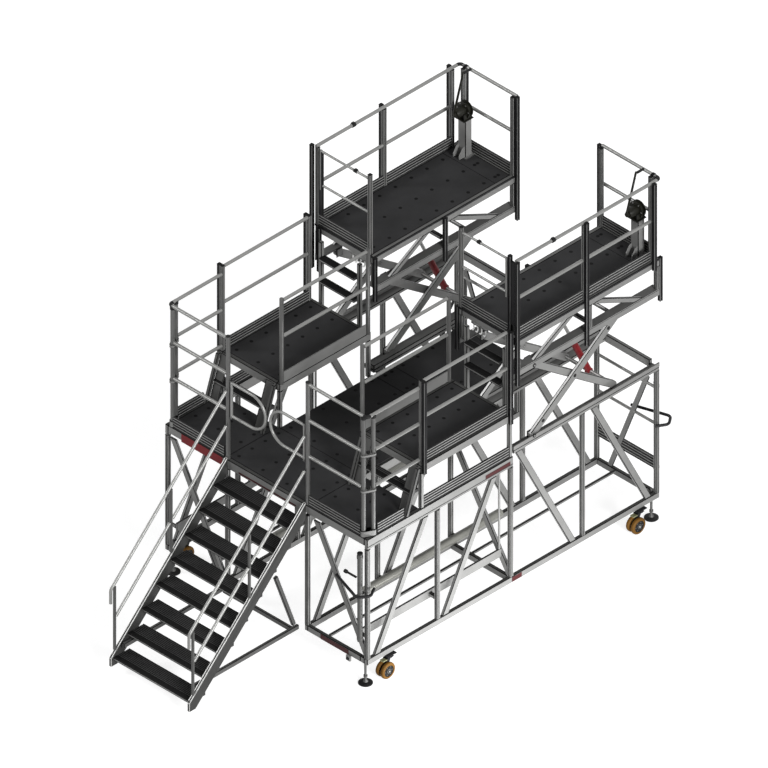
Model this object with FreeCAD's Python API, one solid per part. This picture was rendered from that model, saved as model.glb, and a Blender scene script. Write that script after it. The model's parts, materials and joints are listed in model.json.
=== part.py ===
"""Mobile aircraft maintenance platform: a docking stand with stairs, a lower deck, two fixed middle
platforms and two scissor-lift upper platforms around an open bay for the aircraft.

Sizes are millimetres. X runs from the stairs towards the aircraft bay, Y to the left, Z up. The sizes
below take X = 0 at the stand's near face; export() then moves every piece so that X = 0 is the middle
of the whole stand, on the floor.
"""

import FreeCAD, Part

import math
import os

from FreeCAD import Vector

os.makedirs("parts", exist_ok=True)

# ---------------------------------------------------------------- driving dimensions
BASE_LENGTH = 4500
MODULE_LENGTH = 2250
BASE_HALF_WIDTH = 1560          # outer faces of the two side boxes
BAY_HALF_WIDTH = 590            # inner faces of the two side boxes
FRAME_BOTTOM = 290              # underside of the bottom rails
PROFILE = 50                    # square section of posts and most beams
BOTTOM_RAIL_DEPTH = 80
BRACE_WIDTH = 80
BRACE_THICKNESS = 40
FACE_BRACE_THICKNESS = 29       # thin enough to pass the foot spindles
WELD_GAP = 0.3                  # between beams of one node that meet end to face
STOWED_TUBE = 100
STOWED_TUBE_Z = 463
STOWED_TUBE_SPACE = 15          # from the inner posts to the tube
STOWED_TUBE_ENDS = (830, 2900)
BAY_BOARD_Y = (1400, 1425)      # long board beside the outer wall of the near bays
BAY_BOARD_Z = (585, 695)
BAY_HANGER = 25
BAY_RAIL = 32
BAY_RAIL_Y = 925

LOWER_DECK_TOP = 1965
MIDDLE_DECK_TOP = 2535
UPPER_DECK_TOP = 3480
RIM_DEPTH = 100
LEDGE_DEPTH = 40
PLATE = 20                      # thickness of the floor plates
PLATE_SEAM = 4
FAR_RAIL_TOP = 2090
FAR_RAIL_DEPTH = 100
TOE_HEIGHT = 140
TOE_THICKNESS = 25

AISLE_END = MODULE_LENGTH + 1360
MIDDLE_START = 830
MIDDLE_END = MODULE_LENGTH - 10
UPPER_START = MODULE_LENGTH + 60
UPPER_END = BASE_LENGTH
UPPER_POST_X = (UPPER_START + UPPER_END) / 2 + 35
UPPER_INNER = 655               # inner face of an upper platform

GUARD_TUBE = 40
GUARD_POST = 50
GUARD_LOW = 640                 # heights of the lower deck's three guard rails above it
GUARD_MIDDLE = 1118
GUARD_TOP = 1595
PLATFORM_GUARD_MIDDLE = 625     # rail heights above a middle platform
PLATFORM_GUARD_TOP = 1125
UPPER_GUARD_MIDDLE = 540        # rail heights above an upper platform
UPPER_GUARD_TOP = 1040
ELBOW_LEG = 10                  # straight part of an elbow beyond its bend
SLOT_PROFILE = 45               # slotted square profile of the platform posts
GUARD_LINE = 20                 # middle of a platform's guard rails, in from the deck's edge

STEP_PROFILE = 45               # side profiles of the short steps to the middle platforms
STEP_FOOT_X = 593
STEP_HEAD_X = 785
STEP_WALLS = ((655, 655 + STEP_PROFILE), (BASE_HALF_WIDTH - STEP_PROFILE, BASE_HALF_WIDTH))
STEP_FLANGE = 120               # width of the plate beside each profile
STEP_FLANGES = (
    (STEP_WALLS[0][1] + WELD_GAP, STEP_WALLS[0][1] + STEP_FLANGE),
    (STEP_WALLS[1][0] - STEP_FLANGE, STEP_WALLS[1][0] - WELD_GAP),
)

STAIR_RISERS = 9
STAIR_GOING = 220
STAIR_TREAD_DEPTH = 240
STAIR_TREAD_THICKNESS = 40
STAIR_HALF_WIDTH = 620
STRINGER_THICKNESS = 35
STAIR_RAIL_TOP = 930            # heights of the handrails above the nosing line
STAIR_RAIL_MIDDLE = 465
STRINGER_DEPTH = 150
STRINGER_CLEAR = 55             # from the nosing line up to a handrail post's foot

GATE_TUBE = 32
GATE_BOTTOM = 2530
GATE_TOP = 3010
GATE_PIVOT_Y = 560
GATE_FREE_Y = 20
HINGE_GAP = 14

# scissor lift
LIFT_NEAR_X = UPPER_START + 260              # the arms' fixed pins, lower and upper
LIFT_LOW_Z = FAR_RAIL_TOP - 10
LOWER_BEAM_TOP = UPPER_DECK_TOP - 400
LOWER_BEAM_BOTTOM = LOWER_BEAM_TOP - 90
LIFT_HIGH_Z = LOWER_BEAM_TOP - 63
ARM_LENGTH = 1594
ARM_DEPTH = 90
ARM_THICKNESS = 40
ARM_PIN = 30
RUNNING_GAP = 5
TRACK_WEB = 15
TRACK_WIDTH = 110
BLACK_POST_BOTTOM = LOWER_BEAM_BOTTOM - 90
SHAFT_DIAMETER = 45
CYLINDER_HEAD_X = LIFT_NEAR_X + 830    # pin under the upper platform that takes the rod's eye
CYLINDER_HEAD_Z = LOWER_BEAM_TOP - 40
CYLINDER_BEAM_LIFT = 60                # room above the eye, which leaves its pin as the lift moves
CYLINDER_BEAM_X = UPPER_POST_X - 25    # the beam ends on the platform's middle posts
LUG_SPREAD = 36
LUG_THICKNESS = 12
CYLINDER_DIAMETER = 76
ROD_DIAMETER = 40
CYLINDER_BARREL = 560
ROD_LENGTH = 684

# wheels and feet
WHEEL_DIAMETER = 200
WHEEL_WIDTH = 48
WHEEL_SPACING = 74
CASTER_TRAIL = 55
CASTER_Y = BASE_HALF_WIDTH - 15
CASTER_NEAR_X = 345
CASTER_FAR_X = BASE_LENGTH - 300        # the far wheels swivel clear of the far feet
FOOT_X = 50
FOOT_Y = BASE_HALF_WIDTH - 80
FOOT_DIAMETER = 165
SPINDLE_DIAMETER = 30
JACK_X = -31
JACK_Y = BASE_HALF_WIDTH - 84
JACK_TUBE = 60

OUTER_POSTS_X = [
    PROFILE / 2,
    MODULE_LENGTH / 2 - 25,
    MODULE_LENGTH - PROFILE / 2,
    BASE_LENGTH - MODULE_LENGTH / 2 - 45,
    BASE_LENGTH - PROFILE / 2,
]
MIDDLE_POSTS_X = (MIDDLE_START + 30, MIDDLE_END - 50)
SIDE_POSTS_X = (UPPER_START + SLOT_PROFILE / 2, UPPER_POST_X - 85, UPPER_END - 102)
END_POSTS_Y = (UPPER_INNER + 28, BASE_HALF_WIDTH - 118)
LATCH_POST_Y = {"left": UPPER_INNER + 76, "right": UPPER_INNER + 16}
HINGE_POST_Y = {"left": BASE_HALF_WIDTH - SLOT_PROFILE / 2, "right": BASE_HALF_WIDTH - 136}
INNER_POSTS_X = (UPPER_START, UPPER_POST_X - 50)    # short black posts on the aircraft's side
NEAR_STRIP_Y = BASE_HALF_WIDTH - 90    # short black posts on the near and far ends of a platform
FAR_STRIP_Y = BASE_HALF_WIDTH - 15
WINCH_HEIGHT = 600              # drum axis above the upper deck
WINCH_PLATE_START = UPPER_END - 270    # the end plate of an upper floor, which carries the winch
TOE_CLEAR = SLOT_PROFILE / 2 + 2 * WELD_GAP      # from a post's middle to the toe board beside it
ROUND_TOE_CLEAR = GUARD_POST / 2 + 2 * WELD_GAP
SIDES = {"left": 1, "right": -1}

# ---------------------------------------------------------------- helpers


def box(x, y, z):
    """A block between (low, high) pairs in X, Y and Z."""
    return Part.makeBox(x[1] - x[0], y[1] - y[0], z[1] - z[0], Vector(x[0], y[0], z[0]))


def around(centre, width):
    """The (low, high) pair of a width about a centre."""
    return (centre - width / 2, centre + width / 2)


def rod(start, end, diameter):
    """A round bar between two points."""
    start = Vector(*start)
    run = Vector(*end) - start
    return Part.makeCylinder(diameter / 2, run.Length, start, run)


def pipe(start, end, outer, inner):
    """A round tube between two points."""
    return rod(start, end, outer).cut(rod(start, end, inner))


def bar(start, end, depth, thickness, flat=Vector(0, 1, 0)):
    """A flat bar along start to end, its thickness along flat and its depth square to that."""
    start = Vector(*start)
    run = Vector(*end) - start
    deep = run.cross(flat).normalize() * (depth / 2)
    wide = Vector(flat).normalize() * (thickness / 2)
    corners = [start + deep + wide, start + deep - wide, start - deep - wide, start - deep + wide]
    return Part.Face(Part.makePolygon(corners + corners[:1])).extrude(run)


def bent_rod(points, diameter, radius):
    """A round bar through points, each inner point rounded by an arc of the same radius."""
    points = [Vector(*p) for p in points]
    edges = []
    last = points[0]
    for before, here, after in zip(points, points[1:], points[2:]):
        towards_before = (before - here).normalize()
        towards_after = (after - here).normalize()
        half = towards_before.getAngle(towards_after) / 2
        setback = radius / math.tan(half)
        arc_start = here + towards_before * setback
        arc_end = here + towards_after * setback
        bisector = (towards_before + towards_after).normalize()
        arc_middle = here + bisector * (radius / math.sin(half) - radius)
        if (arc_start - last).Length > 1e-6:
            edges.append(Part.LineSegment(last, arc_start).toShape())
        edges.append(Part.Arc(arc_start, arc_middle, arc_end).toShape())
        last = arc_end
    edges.append(Part.LineSegment(last, points[-1]).toShape())
    path = Part.Wire(edges)
    circle = Part.Wire(Part.makeCircle(diameter / 2, points[0], points[1] - points[0]))
    return path.makePipeShell([circle], True, False)


def rails_with_elbows(points, diameter, radius):
    """Straight rails through points, joined by a short elbow at each inner point."""
    points = [Vector(*p) for p in points]
    pieces = []
    last = points[0]
    for before, here, after in zip(points, points[1:], points[2:]):
        back = (before - here).normalize()
        onward = (after - here).normalize()
        elbow_start = here + back * (radius + ELBOW_LEG)
        elbow_end = here + onward * (radius + ELBOW_LEG)
        pieces.append(rod(tuple(last), tuple(elbow_start + back * WELD_GAP), diameter))
        pieces.append(bent_rod([tuple(elbow_start), tuple(here), tuple(elbow_end)], diameter, radius))
        last = elbow_end + onward * WELD_GAP
    pieces.append(rod(tuple(last), tuple(points[-1]), diameter))
    return pieces


def mirrored(shape):
    """The same shape on the other side of the stand."""
    return shape.mirror(Vector(0, 0, 0), Vector(0, 1, 0))


def on_side(shapes, side):
    """Left-hand shapes, mirrored for the right-hand side."""
    return [s if side == 1 else mirrored(s) for s in shapes]


def both_sides(shapes):
    """Left-hand shapes with their right-hand twins."""
    return list(shapes) + [mirrored(s) for s in shapes]


def fused(shapes):
    """One solid from shapes that overlap or touch."""
    return shapes[0].multiFuse(shapes[1:]).removeSplitter()


NODES = {}


def node(name, shapes):
    """Keeps the solids of one named piece for export."""
    solids = [solid for shape in shapes for solid in shape.Solids]
    NODES[name] = Part.makeCompound(solids)


def export():
    """Centres the stand on X and writes one STEP file per piece."""
    low = min(shape.BoundBox.XMin for shape in NODES.values())
    high = max(shape.BoundBox.XMax for shape in NODES.values())
    for name, shape in NODES.items():
        moved = shape.copy()
        moved.translate(Vector(-(low + high) / 2, 0, 0))
        moved.exportStep("parts/" + name + ".step")
    print("moved by X =", -(low + high) / 2, "nodes:", len(NODES))


# ---------------------------------------------------------------- worked-out places
OUTER = (BASE_HALF_WIDTH - PROFILE, BASE_HALF_WIDTH)
INNER = (BAY_HALF_WIDTH, BAY_HALF_WIDTH + PROFILE)
AISLE_RAIL = (BAY_HALF_WIDTH - PROFILE - WELD_GAP, BAY_HALF_WIDTH - WELD_GAP)
BOTTOM_RAIL_TOP = FRAME_BOTTOM + BOTTOM_RAIL_DEPTH
LOWER_RIM_BOTTOM = LOWER_DECK_TOP - RIM_DEPTH
LEDGE_BOTTOM = LOWER_RIM_BOTTOM - LEDGE_DEPTH
INNER_RIM_TOP = LOWER_DECK_TOP - PLATE
FAR_RAIL_BOTTOM = FAR_RAIL_TOP - FAR_RAIL_DEPTH
MIDDLE_RIM_BOTTOM = MIDDLE_DECK_TOP - RIM_DEPTH
UPPER_RIM_BOTTOM = UPPER_DECK_TOP - RIM_DEPTH
FAR_CROSS = (BASE_LENGTH - PROFILE, BASE_LENGTH)
STAIR_RISE = LOWER_DECK_TOP / STAIR_RISERS

ARM_ANGLE = math.asin((LIFT_HIGH_Z - LIFT_LOW_Z) / ARM_LENGTH)
LIFT_FAR_X = LIFT_NEAR_X + ARM_LENGTH * math.cos(ARM_ANGLE)
TRACK_FLOOR = LIFT_LOW_Z - ARM_DEPTH / 2 - WELD_GAP
TRACK_CEILING = LIFT_HIGH_Z + ARM_DEPTH / 2 + WELD_GAP
ARM_A_OUTER = (
    BASE_HALF_WIDTH - TRACK_WEB - RUNNING_GAP - ARM_THICKNESS,
    BASE_HALF_WIDTH - TRACK_WEB - RUNNING_GAP,
)
ARM_B_OUTER = (ARM_A_OUTER[0] - 8 - ARM_THICKNESS, ARM_A_OUTER[0] - 8)
ARM_A_INNER = (
    UPPER_INNER + TRACK_WEB + RUNNING_GAP,
    UPPER_INNER + TRACK_WEB + RUNNING_GAP + ARM_THICKNESS,
)
ARM_B_INNER = (ARM_A_INNER[1] + 8, ARM_A_INNER[1] + 8 + ARM_THICKNESS)

# ---------------------------------------------------------------- base frame


def bottom_frame():
    """Bottom rails along X, cross beams along Y and the corner blocks that guide the foot spindles."""
    module_ends = [(0, MODULE_LENGTH - WELD_GAP / 2), (MODULE_LENGTH + WELD_GAP / 2, BASE_LENGTH)]
    height = (FRAME_BOTTOM, BOTTOM_RAIL_TOP)
    shapes = [box(ends, wall, height) for ends in module_ends for wall in (OUTER, INNER)]
    block = (FOOT_Y - 30, OUTER[0] - WELD_GAP)
    beam = (INNER[1] + WELD_GAP, block[0] - WELD_GAP)
    for foot_x, ends in ((FOOT_X, (0, PROFILE)), (BASE_LENGTH - FOOT_X, FAR_CROSS)):
        shapes.append(box(ends, beam, height))
        bore = rod((foot_x, FOOT_Y, 0), (foot_x, FOOT_Y, 1000), SPINDLE_DIAMETER + 2)
        shapes.append(box(around(foot_x, 2 * FOOT_X), block, height).cut(bore))
    middle = (INNER[1] + WELD_GAP, OUTER[0] - WELD_GAP)
    shapes.append(box(around(MODULE_LENGTH - PROFILE / 2, PROFILE), middle, height))
    node("bottom_frame", both_sides(shapes))


def posts():
    """Square posts of the four trusses."""
    shapes = []
    for x in OUTER_POSTS_X:
        near = x < MODULE_LENGTH
        top = LEDGE_BOTTOM if near else FAR_RAIL_BOTTOM
        joint = abs(x - (MODULE_LENGTH - PROFILE / 2)) < 1
        width = around(x, PROFILE)
        for wall in (OUTER, INNER):
            shapes.append(box(width, wall, (BOTTOM_RAIL_TOP, top - WELD_GAP if not joint else top)))
    node("base_posts", both_sides(shapes))


def top_rails():
    """Rim of the lower deck with its ledge, and the far module's top rails and end beams."""
    near = (0, MODULE_LENGTH - WELD_GAP)
    shapes = []
    rim = box(near, OUTER, (LOWER_RIM_BOTTOM, LOWER_DECK_TOP))
    ledge = box(near, (OUTER[0], OUTER[1] - 5), (LEDGE_BOTTOM, LOWER_RIM_BOTTOM))
    shapes.append(fused([rim, ledge]))
    inner_height = (LEDGE_BOTTOM, INNER_RIM_TOP)
    shapes.append(box((PROFILE + WELD_GAP, MODULE_LENGTH - WELD_GAP), INNER, inner_height))
    shapes.append(box((MODULE_LENGTH + WELD_GAP, AISLE_END), AISLE_RAIL, inner_height))
    near_rim = box((0, PROFILE), (0, OUTER[0] - WELD_GAP), (LOWER_RIM_BOTTOM, LOWER_DECK_TOP))
    near_ledge = box((0, PROFILE), (0, OUTER[0] - WELD_GAP), (LEDGE_BOTTOM, LOWER_RIM_BOTTOM))
    left = both_sides(shapes)
    end = fused([near_rim, mirrored(near_rim)])
    strip = box(
        (0, PROFILE), (-BAY_HALF_WIDTH, BAY_HALF_WIDTH), (LEDGE_BOTTOM + 20, LOWER_RIM_BOTTOM)
    )
    left.append(fused([end, strip]))
    for x in (MIDDLE_START - PROFILE, MODULE_LENGTH + 300, AISLE_END - PROFILE):
        half = (BAY_HALF_WIDTH if x < MODULE_LENGTH else AISLE_RAIL[0]) - WELD_GAP
        left.append(box((x, x + PROFILE), (-half, half), (LOWER_RIM_BOTTOM, INNER_RIM_TOP)))
    cross = box(
        (MIDDLE_START - PROFILE, MIDDLE_START),
        (INNER[1] + WELD_GAP, OUTER[0] - WELD_GAP),
        (LOWER_RIM_BOTTOM, INNER_RIM_TOP),
    )
    left += both_sides([cross])
    node("deck_rims", left)


def lift_tracks():
    """Channels on top of the far module that carry the scissor arms, with their fixed pins."""
    shapes = []
    length = (MODULE_LENGTH + WELD_GAP, BASE_LENGTH)
    web_height = (TRACK_FLOOR + WELD_GAP, FAR_RAIL_TOP)
    floor_height = (FAR_RAIL_BOTTOM, TRACK_FLOOR)
    outer_web = box(length, (BASE_HALF_WIDTH - TRACK_WEB, BASE_HALF_WIDTH), web_height)
    outer_floor = box(length, (BASE_HALF_WIDTH - TRACK_WIDTH, BASE_HALF_WIDTH), floor_height)
    inner_web = box(length, (BAY_HALF_WIDTH, UPPER_INNER + TRACK_WEB), web_height)
    inner_floor = box(length, (BAY_HALF_WIDTH, UPPER_INNER + TRACK_WIDTH), floor_height)
    pin_top = LIFT_LOW_Z + ARM_DEPTH / 2
    for web, floor, arm, sense in (
        (outer_web, outer_floor, ARM_A_OUTER, -1),
        (inner_web, inner_floor, ARM_A_INNER, 1),
    ):
        start = arm[0] - RUNNING_GAP if sense == 1 else arm[1] + RUNNING_GAP
        inside = arm[1] + RUNNING_GAP if sense == 1 else arm[0] - RUNNING_GAP
        end = inside + sense * 12
        pin = rod((LIFT_NEAR_X, start, LIFT_LOW_Z), (LIFT_NEAR_X, end, LIFT_LOW_Z), ARM_PIN)
        ear_y = (min(inside, end), max(inside, end))
        ear = box(around(LIFT_NEAR_X, ARM_DEPTH), ear_y, (TRACK_FLOOR + WELD_GAP, pin_top))
        shapes += [web, floor, fused([pin, ear])]
    far_beam = box(
        FAR_CROSS,
        (UPPER_INNER + TRACK_WIDTH + WELD_GAP, BASE_HALF_WIDTH - TRACK_WIDTH - WELD_GAP),
        (FAR_RAIL_BOTTOM, FAR_RAIL_TOP),
    )
    shapes.append(far_beam)
    node("lift_tracks", both_sides(shapes))


def braces():
    """Diagonals of the trusses and of the near and far faces."""
    shapes = []
    near_window = (BOTTOM_RAIL_TOP + WELD_GAP, LEDGE_BOTTOM - WELD_GAP)
    far_window = (BOTTOM_RAIL_TOP + WELD_GAP, FAR_RAIL_BOTTOM - WELD_GAP)
    lean = 0.514            # run of a diagonal per rise
    for wall in (OUTER, INNER):
        y = sum(wall) / 2
        for foot in (160, OUTER_POSTS_X[1] + 110):
            rise = near_window[1] - near_window[0]
            long_bar = bar(
                (foot - lean * 300, y, near_window[0] - 300),
                (foot + lean * (rise + 300), y, near_window[1] + 300),
                BRACE_WIDTH,
                BRACE_THICKNESS,
            )
            window = box((PROFILE + WELD_GAP, MODULE_LENGTH - PROFILE - WELD_GAP), wall, near_window)
            shapes.append(long_bar.common(window))
        for foot in (OUTER_POSTS_X[3] - 160, BASE_LENGTH - 170):
            rise = far_window[1] - far_window[0]
            long_bar = bar(
                (foot + lean * 300, y, far_window[0] - 300),
                (foot - lean * (rise + 300), y, far_window[1] + 300),
                BRACE_WIDTH,
                BRACE_THICKNESS,
            )
            window = box((MODULE_LENGTH + WELD_GAP, BASE_LENGTH - PROFILE - WELD_GAP), wall, far_window)
            shapes.append(long_bar.common(window))
    pieces = both_sides(shapes)
    # the near face of each box has one diagonal, and both lean the same way
    face_lean = 0.5436
    for top_y in (1440, -770):
        rise = near_window[1] - near_window[0]
        long_bar = bar(
            (FACE_BRACE_THICKNESS / 2, top_y + face_lean * 300, near_window[1] + 300),
            (FACE_BRACE_THICKNESS / 2, top_y - face_lean * (rise + 300), near_window[0] - 300),
            BRACE_WIDTH,
            FACE_BRACE_THICKNESS,
            Vector(1, 0, 0),
        )
        sign = 1 if top_y > 0 else -1
        edges = sorted((sign * (INNER[1] + WELD_GAP), sign * (OUTER[0] - WELD_GAP)))
        pieces.append(long_bar.common(box((0, PROFILE), edges, near_window)))
    # where the two modules meet, one diagonal crosses each box from outside low to inside high
    across = (INNER[1] + WELD_GAP, OUTER[0] - WELD_GAP)
    middle = MODULE_LENGTH - PROFILE / 2
    cross_bar = bar(
        (middle, across[1] + 100, near_window[0] - 115),
        (middle, across[0] - 100, near_window[1] + 115),
        BRACE_WIDTH,
        BRACE_THICKNESS,
        Vector(1, 0, 0),
    )
    window = box(around(middle, PROFILE), across, near_window)
    pieces += both_sides([cross_bar.common(window)])
    node("base_braces", pieces)


def stowed_tubes():
    """A long round tube carried low along the inner wall of each box, on brackets at the posts."""
    y = INNER[1] + STOWED_TUBE_SPACE + STOWED_TUBE / 2
    shapes = [
        rod((STOWED_TUBE_ENDS[0], y, STOWED_TUBE_Z), (STOWED_TUBE_ENDS[1], y, STOWED_TUBE_Z), STOWED_TUBE)
    ]
    wall = (INNER[1] + WELD_GAP, INNER[1] + STOWED_TUBE_SPACE - WELD_GAP)
    for x in OUTER_POSTS_X[1:3]:
        shapes.append(box(around(x, PROFILE), wall, around(STOWED_TUBE_Z, PROFILE)))
    node("stowed_tubes", both_sides(shapes))


def bay_rails():
    """A thin rail along each box's floor, and the long board beside the outer wall of the near module."""
    height = (BOTTOM_RAIL_TOP - BAY_RAIL, BOTTOM_RAIL_TOP)
    middle_end = MODULE_LENGTH - PROFILE
    shapes = [
        box((PROFILE + WELD_GAP, middle_end - WELD_GAP), around(BAY_RAIL_Y, BAY_RAIL), height),
        box((MODULE_LENGTH + WELD_GAP, FAR_CROSS[0] - WELD_GAP), around(BAY_RAIL_Y, BAY_RAIL), height),
        box((FACE_BRACE_THICKNESS + 1, middle_end), BAY_BOARD_Y, BAY_BOARD_Z),
    ]
    hanger_y = sum(BAY_BOARD_Y) / 2
    hanger_x = middle_end - BAY_HANGER
    hanger_top = LEDGE_BOTTOM + PROFILE
    shapes.append(
        rod((hanger_x, hanger_y, BAY_BOARD_Z[1] + WELD_GAP), (hanger_x, hanger_y, hanger_top), BAY_HANGER)
    )
    reach = (BAY_BOARD_Y[1] + WELD_GAP, OUTER[0] - WELD_GAP)
    bracket_z = around(sum(BAY_BOARD_Z) / 2, PROFILE)
    for x in ((FACE_BRACE_THICKNESS + 1, PROFILE), around(OUTER_POSTS_X[1], PROFILE)):
        shapes.append(box(x, reach, bracket_z))
    shapes.append(box(around(hanger_x, PROFILE), reach, (LEDGE_BOTTOM + WELD_GAP, hanger_top)))
    node("bay_rails", both_sides(shapes))


def far_face():
    """Thin round rails and the ribbed board across the far face of each box."""
    between = (INNER[1] + WELD_GAP, OUTER[0] - WELD_GAP)
    x = BASE_LENGTH - PROFILE / 2
    shapes = [rod((x, between[0], z), (x, between[1], z), GUARD_TUBE - 5) for z in (1270, 1750)]
    shapes.append(box((BASE_LENGTH - 30, BASE_LENGTH - 5), between, (660, 810)))
    node("far_face_rails", both_sides(shapes))


def lower_floor():
    """Floor plates of the lower deck and its ribbed toe boards."""
    height = (INNER_RIM_TOP, LOWER_DECK_TOP)
    seam = PLATE_SEAM / 2
    shapes = []
    breaks = [PROFILE + WELD_GAP, MIDDLE_START, MODULE_LENGTH + 275, AISLE_END]
    breaks.insert(2, MODULE_LENGTH)
    halves = (INNER[1], INNER[0] + 30, AISLE_RAIL[1], AISLE_RAIL[1])
    for start, end, half in zip(breaks, breaks[1:], halves):
        shapes.append(box((start + seam, end - seam), (seam - half, half - seam), height))
    side = box(
        (breaks[0] + seam, MIDDLE_START - seam), (INNER[1] + seam, OUTER[0] - WELD_GAP), height
    )
    shapes += both_sides([side])
    toe = (LOWER_DECK_TOP + WELD_GAP, LOWER_DECK_TOP + TOE_HEIGHT)
    outer_wall = (OUTER[1] - 10 - TOE_THICKNESS, OUTER[1] - 10)
    under_middle = (MIDDLE_START + PROFILE + WELD_GAP, MIDDLE_END - PROFILE - WELD_GAP)
    toes = [
        box((5, 5 + TOE_THICKNESS), (INNER[1] + 15, OUTER[0] - 70), toe),
        box((170, STEP_FOOT_X - 20), outer_wall, toe),
        box(under_middle, outer_wall, toe),
    ]
    node("lower_floor", shapes + both_sides(toes))


def middle_platforms():
    """The two fixed middle platforms: rims on short posts, and their floors with toe boards."""
    height = (MIDDLE_RIM_BOTTOM, MIDDLE_DECK_TOP)
    outer = (OUTER[0] - 5, OUTER[1] - 5)
    inner = (INNER[0] + 30, INNER[1] + 30)
    shapes = [box((MIDDLE_START, MIDDLE_END), wall, height) for wall in (outer, inner)]
    between = (inner[1] + WELD_GAP, outer[0] - WELD_GAP)
    for x in (MIDDLE_START, (MIDDLE_START + MIDDLE_END - PROFILE) / 2, MIDDLE_END - PROFILE):
        top = MIDDLE_DECK_TOP if x != (MIDDLE_START + MIDDLE_END - PROFILE) / 2 else MIDDLE_DECK_TOP - PLATE
        shapes.append(box((x, x + PROFILE), between, (MIDDLE_RIM_BOTTOM, top)))
    leg_top = MIDDLE_RIM_BOTTOM - WELD_GAP
    for x in (MIDDLE_START, MIDDLE_END - PROFILE):
        shapes.append(box((x, x + PROFILE), outer, (LOWER_DECK_TOP + WELD_GAP, leg_top)))
        shapes.append(box((x, x + PROFILE), inner, (INNER_RIM_TOP + WELD_GAP, leg_top)))
    node("middle_frames", both_sides(shapes))
    floor = box(
        (MIDDLE_START + PROFILE + 1, MIDDLE_END - PROFILE - 1),
        (inner[1] + 1, outer[0] - 1),
        (MIDDLE_DECK_TOP - PLATE + WELD_GAP, MIDDLE_DECK_TOP),
    )
    toe = (MIDDLE_DECK_TOP + WELD_GAP, MIDDLE_DECK_TOP + TOE_HEIGHT)
    outer_toe = (MIDDLE_POSTS_X[0] + TOE_CLEAR, MIDDLE_POSTS_X[1] - TOE_CLEAR)
    inner_toe = (MIDDLE_POSTS_X[0] + ROUND_TOE_CLEAR, MIDDLE_POSTS_X[1] - ROUND_TOE_CLEAR)
    toes = [
        box(outer_toe, (outer[0] + 2, outer[0] + 2 + TOE_THICKNESS), toe),
        box(inner_toe, (inner[0] + 2, inner[0] + 12), toe),
    ]
    node("middle_floors", both_sides([floor] + toes))


def front_guard():
    """Guards of the lower deck: near end on both sides of the stair, and along both outer sides."""
    shapes = []
    floor = LOWER_DECK_TOP + WELD_GAP
    top = LOWER_DECK_TOP + GUARD_TOP
    x = 30
    stair_post = STAIR_HALF_WIDTH - 7
    corner_y = BASE_HALF_WIDTH - 90
    side_x = 130
    side_y = BASE_HALF_WIDTH - 40
    clear = GUARD_POST / 2 + WELD_GAP
    under_rail = top - GUARD_TUBE / 2 - WELD_GAP
    shapes.append(rod((x, stair_post, floor), (x, stair_post, top + 25), GUARD_POST))
    for px, py in ((x, corner_y), (side_x, side_y)):
        shapes.append(rod((px, py, floor), (px, py, under_rail), GUARD_POST))
    for rise in (GUARD_LOW, GUARD_MIDDLE):
        z = LOWER_DECK_TOP + rise
        shapes.append(rod((x, stair_post + clear, z), (x, corner_y - clear, z), GUARD_TUBE))
        shapes.append(rod((side_x + clear, side_y, z), (MIDDLE_START - WELD_GAP, side_y, z), GUARD_TUBE))
    top_rail = [(x, stair_post + clear, top), (x, side_y, top), (MIDDLE_START - WELD_GAP, side_y, top)]
    shapes += rails_with_elbows(top_rail, GUARD_TUBE, GUARD_TUBE)
    run = Vector(side_x - x, side_y - corner_y, 0).normalize() * clear
    for rise in (GUARD_LOW - 45, GUARD_MIDDLE - 45):
        z = LOWER_DECK_TOP + rise
        start = Vector(x, corner_y, z) + run
        end = Vector(side_x, side_y, z) - run
        shapes.append(rod(tuple(start), tuple(end), 30))
    lug_y = (GATE_PIVOT_Y - GATE_TUBE / 2, stair_post - clear)
    for z in (GATE_BOTTOM - 12 - WELD_GAP, GATE_TOP + WELD_GAP):
        shapes.append(box(around(x, GATE_TUBE), lug_y, (z, z + 12)))
    node("front_guards", both_sides(shapes))


def middle_guards():
    """Guards on the outer and inner sides of the middle platforms."""
    shapes = []
    blacks = []
    floor = MIDDLE_DECK_TOP + WELD_GAP
    top = MIDDLE_DECK_TOP + PLATFORM_GUARD_TOP
    rim_face = BASE_HALF_WIDTH - 5
    outer_y = rim_face - SLOT_PROFILE / 2
    outside = (rim_face + WELD_GAP, rim_face + WELD_GAP + SLOT_PROFILE)
    inner_y = INNER[0] + 32
    posts_x = MIDDLE_POSTS_X
    half = SLOT_PROFILE / 2 + WELD_GAP
    for px in posts_x:
        shapes.append(box(around(px, SLOT_PROFILE), around(outer_y, SLOT_PROFILE), (floor, top)))
        blacks.append(box(around(px, SLOT_PROFILE), outside, (MIDDLE_RIM_BOTTOM, top)))
        shapes.append(rod((px, inner_y, floor), (px, inner_y, top + 10), GUARD_POST))
    inner_half = GUARD_POST / 2 + WELD_GAP
    for rise in (PLATFORM_GUARD_MIDDLE, PLATFORM_GUARD_TOP - GUARD_TUBE / 2):
        z = MIDDLE_DECK_TOP + rise
        shapes.append(rod((posts_x[0] + half, outer_y, z), (posts_x[1] - half, outer_y, z), GUARD_TUBE))
        shapes.append(
            rod((posts_x[0] + inner_half, inner_y, z), (posts_x[1] - inner_half, inner_y, z), GUARD_TUBE)
        )
    node("middle_guards", both_sides(shapes))
    node("black_posts", both_sides(blacks))


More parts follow.
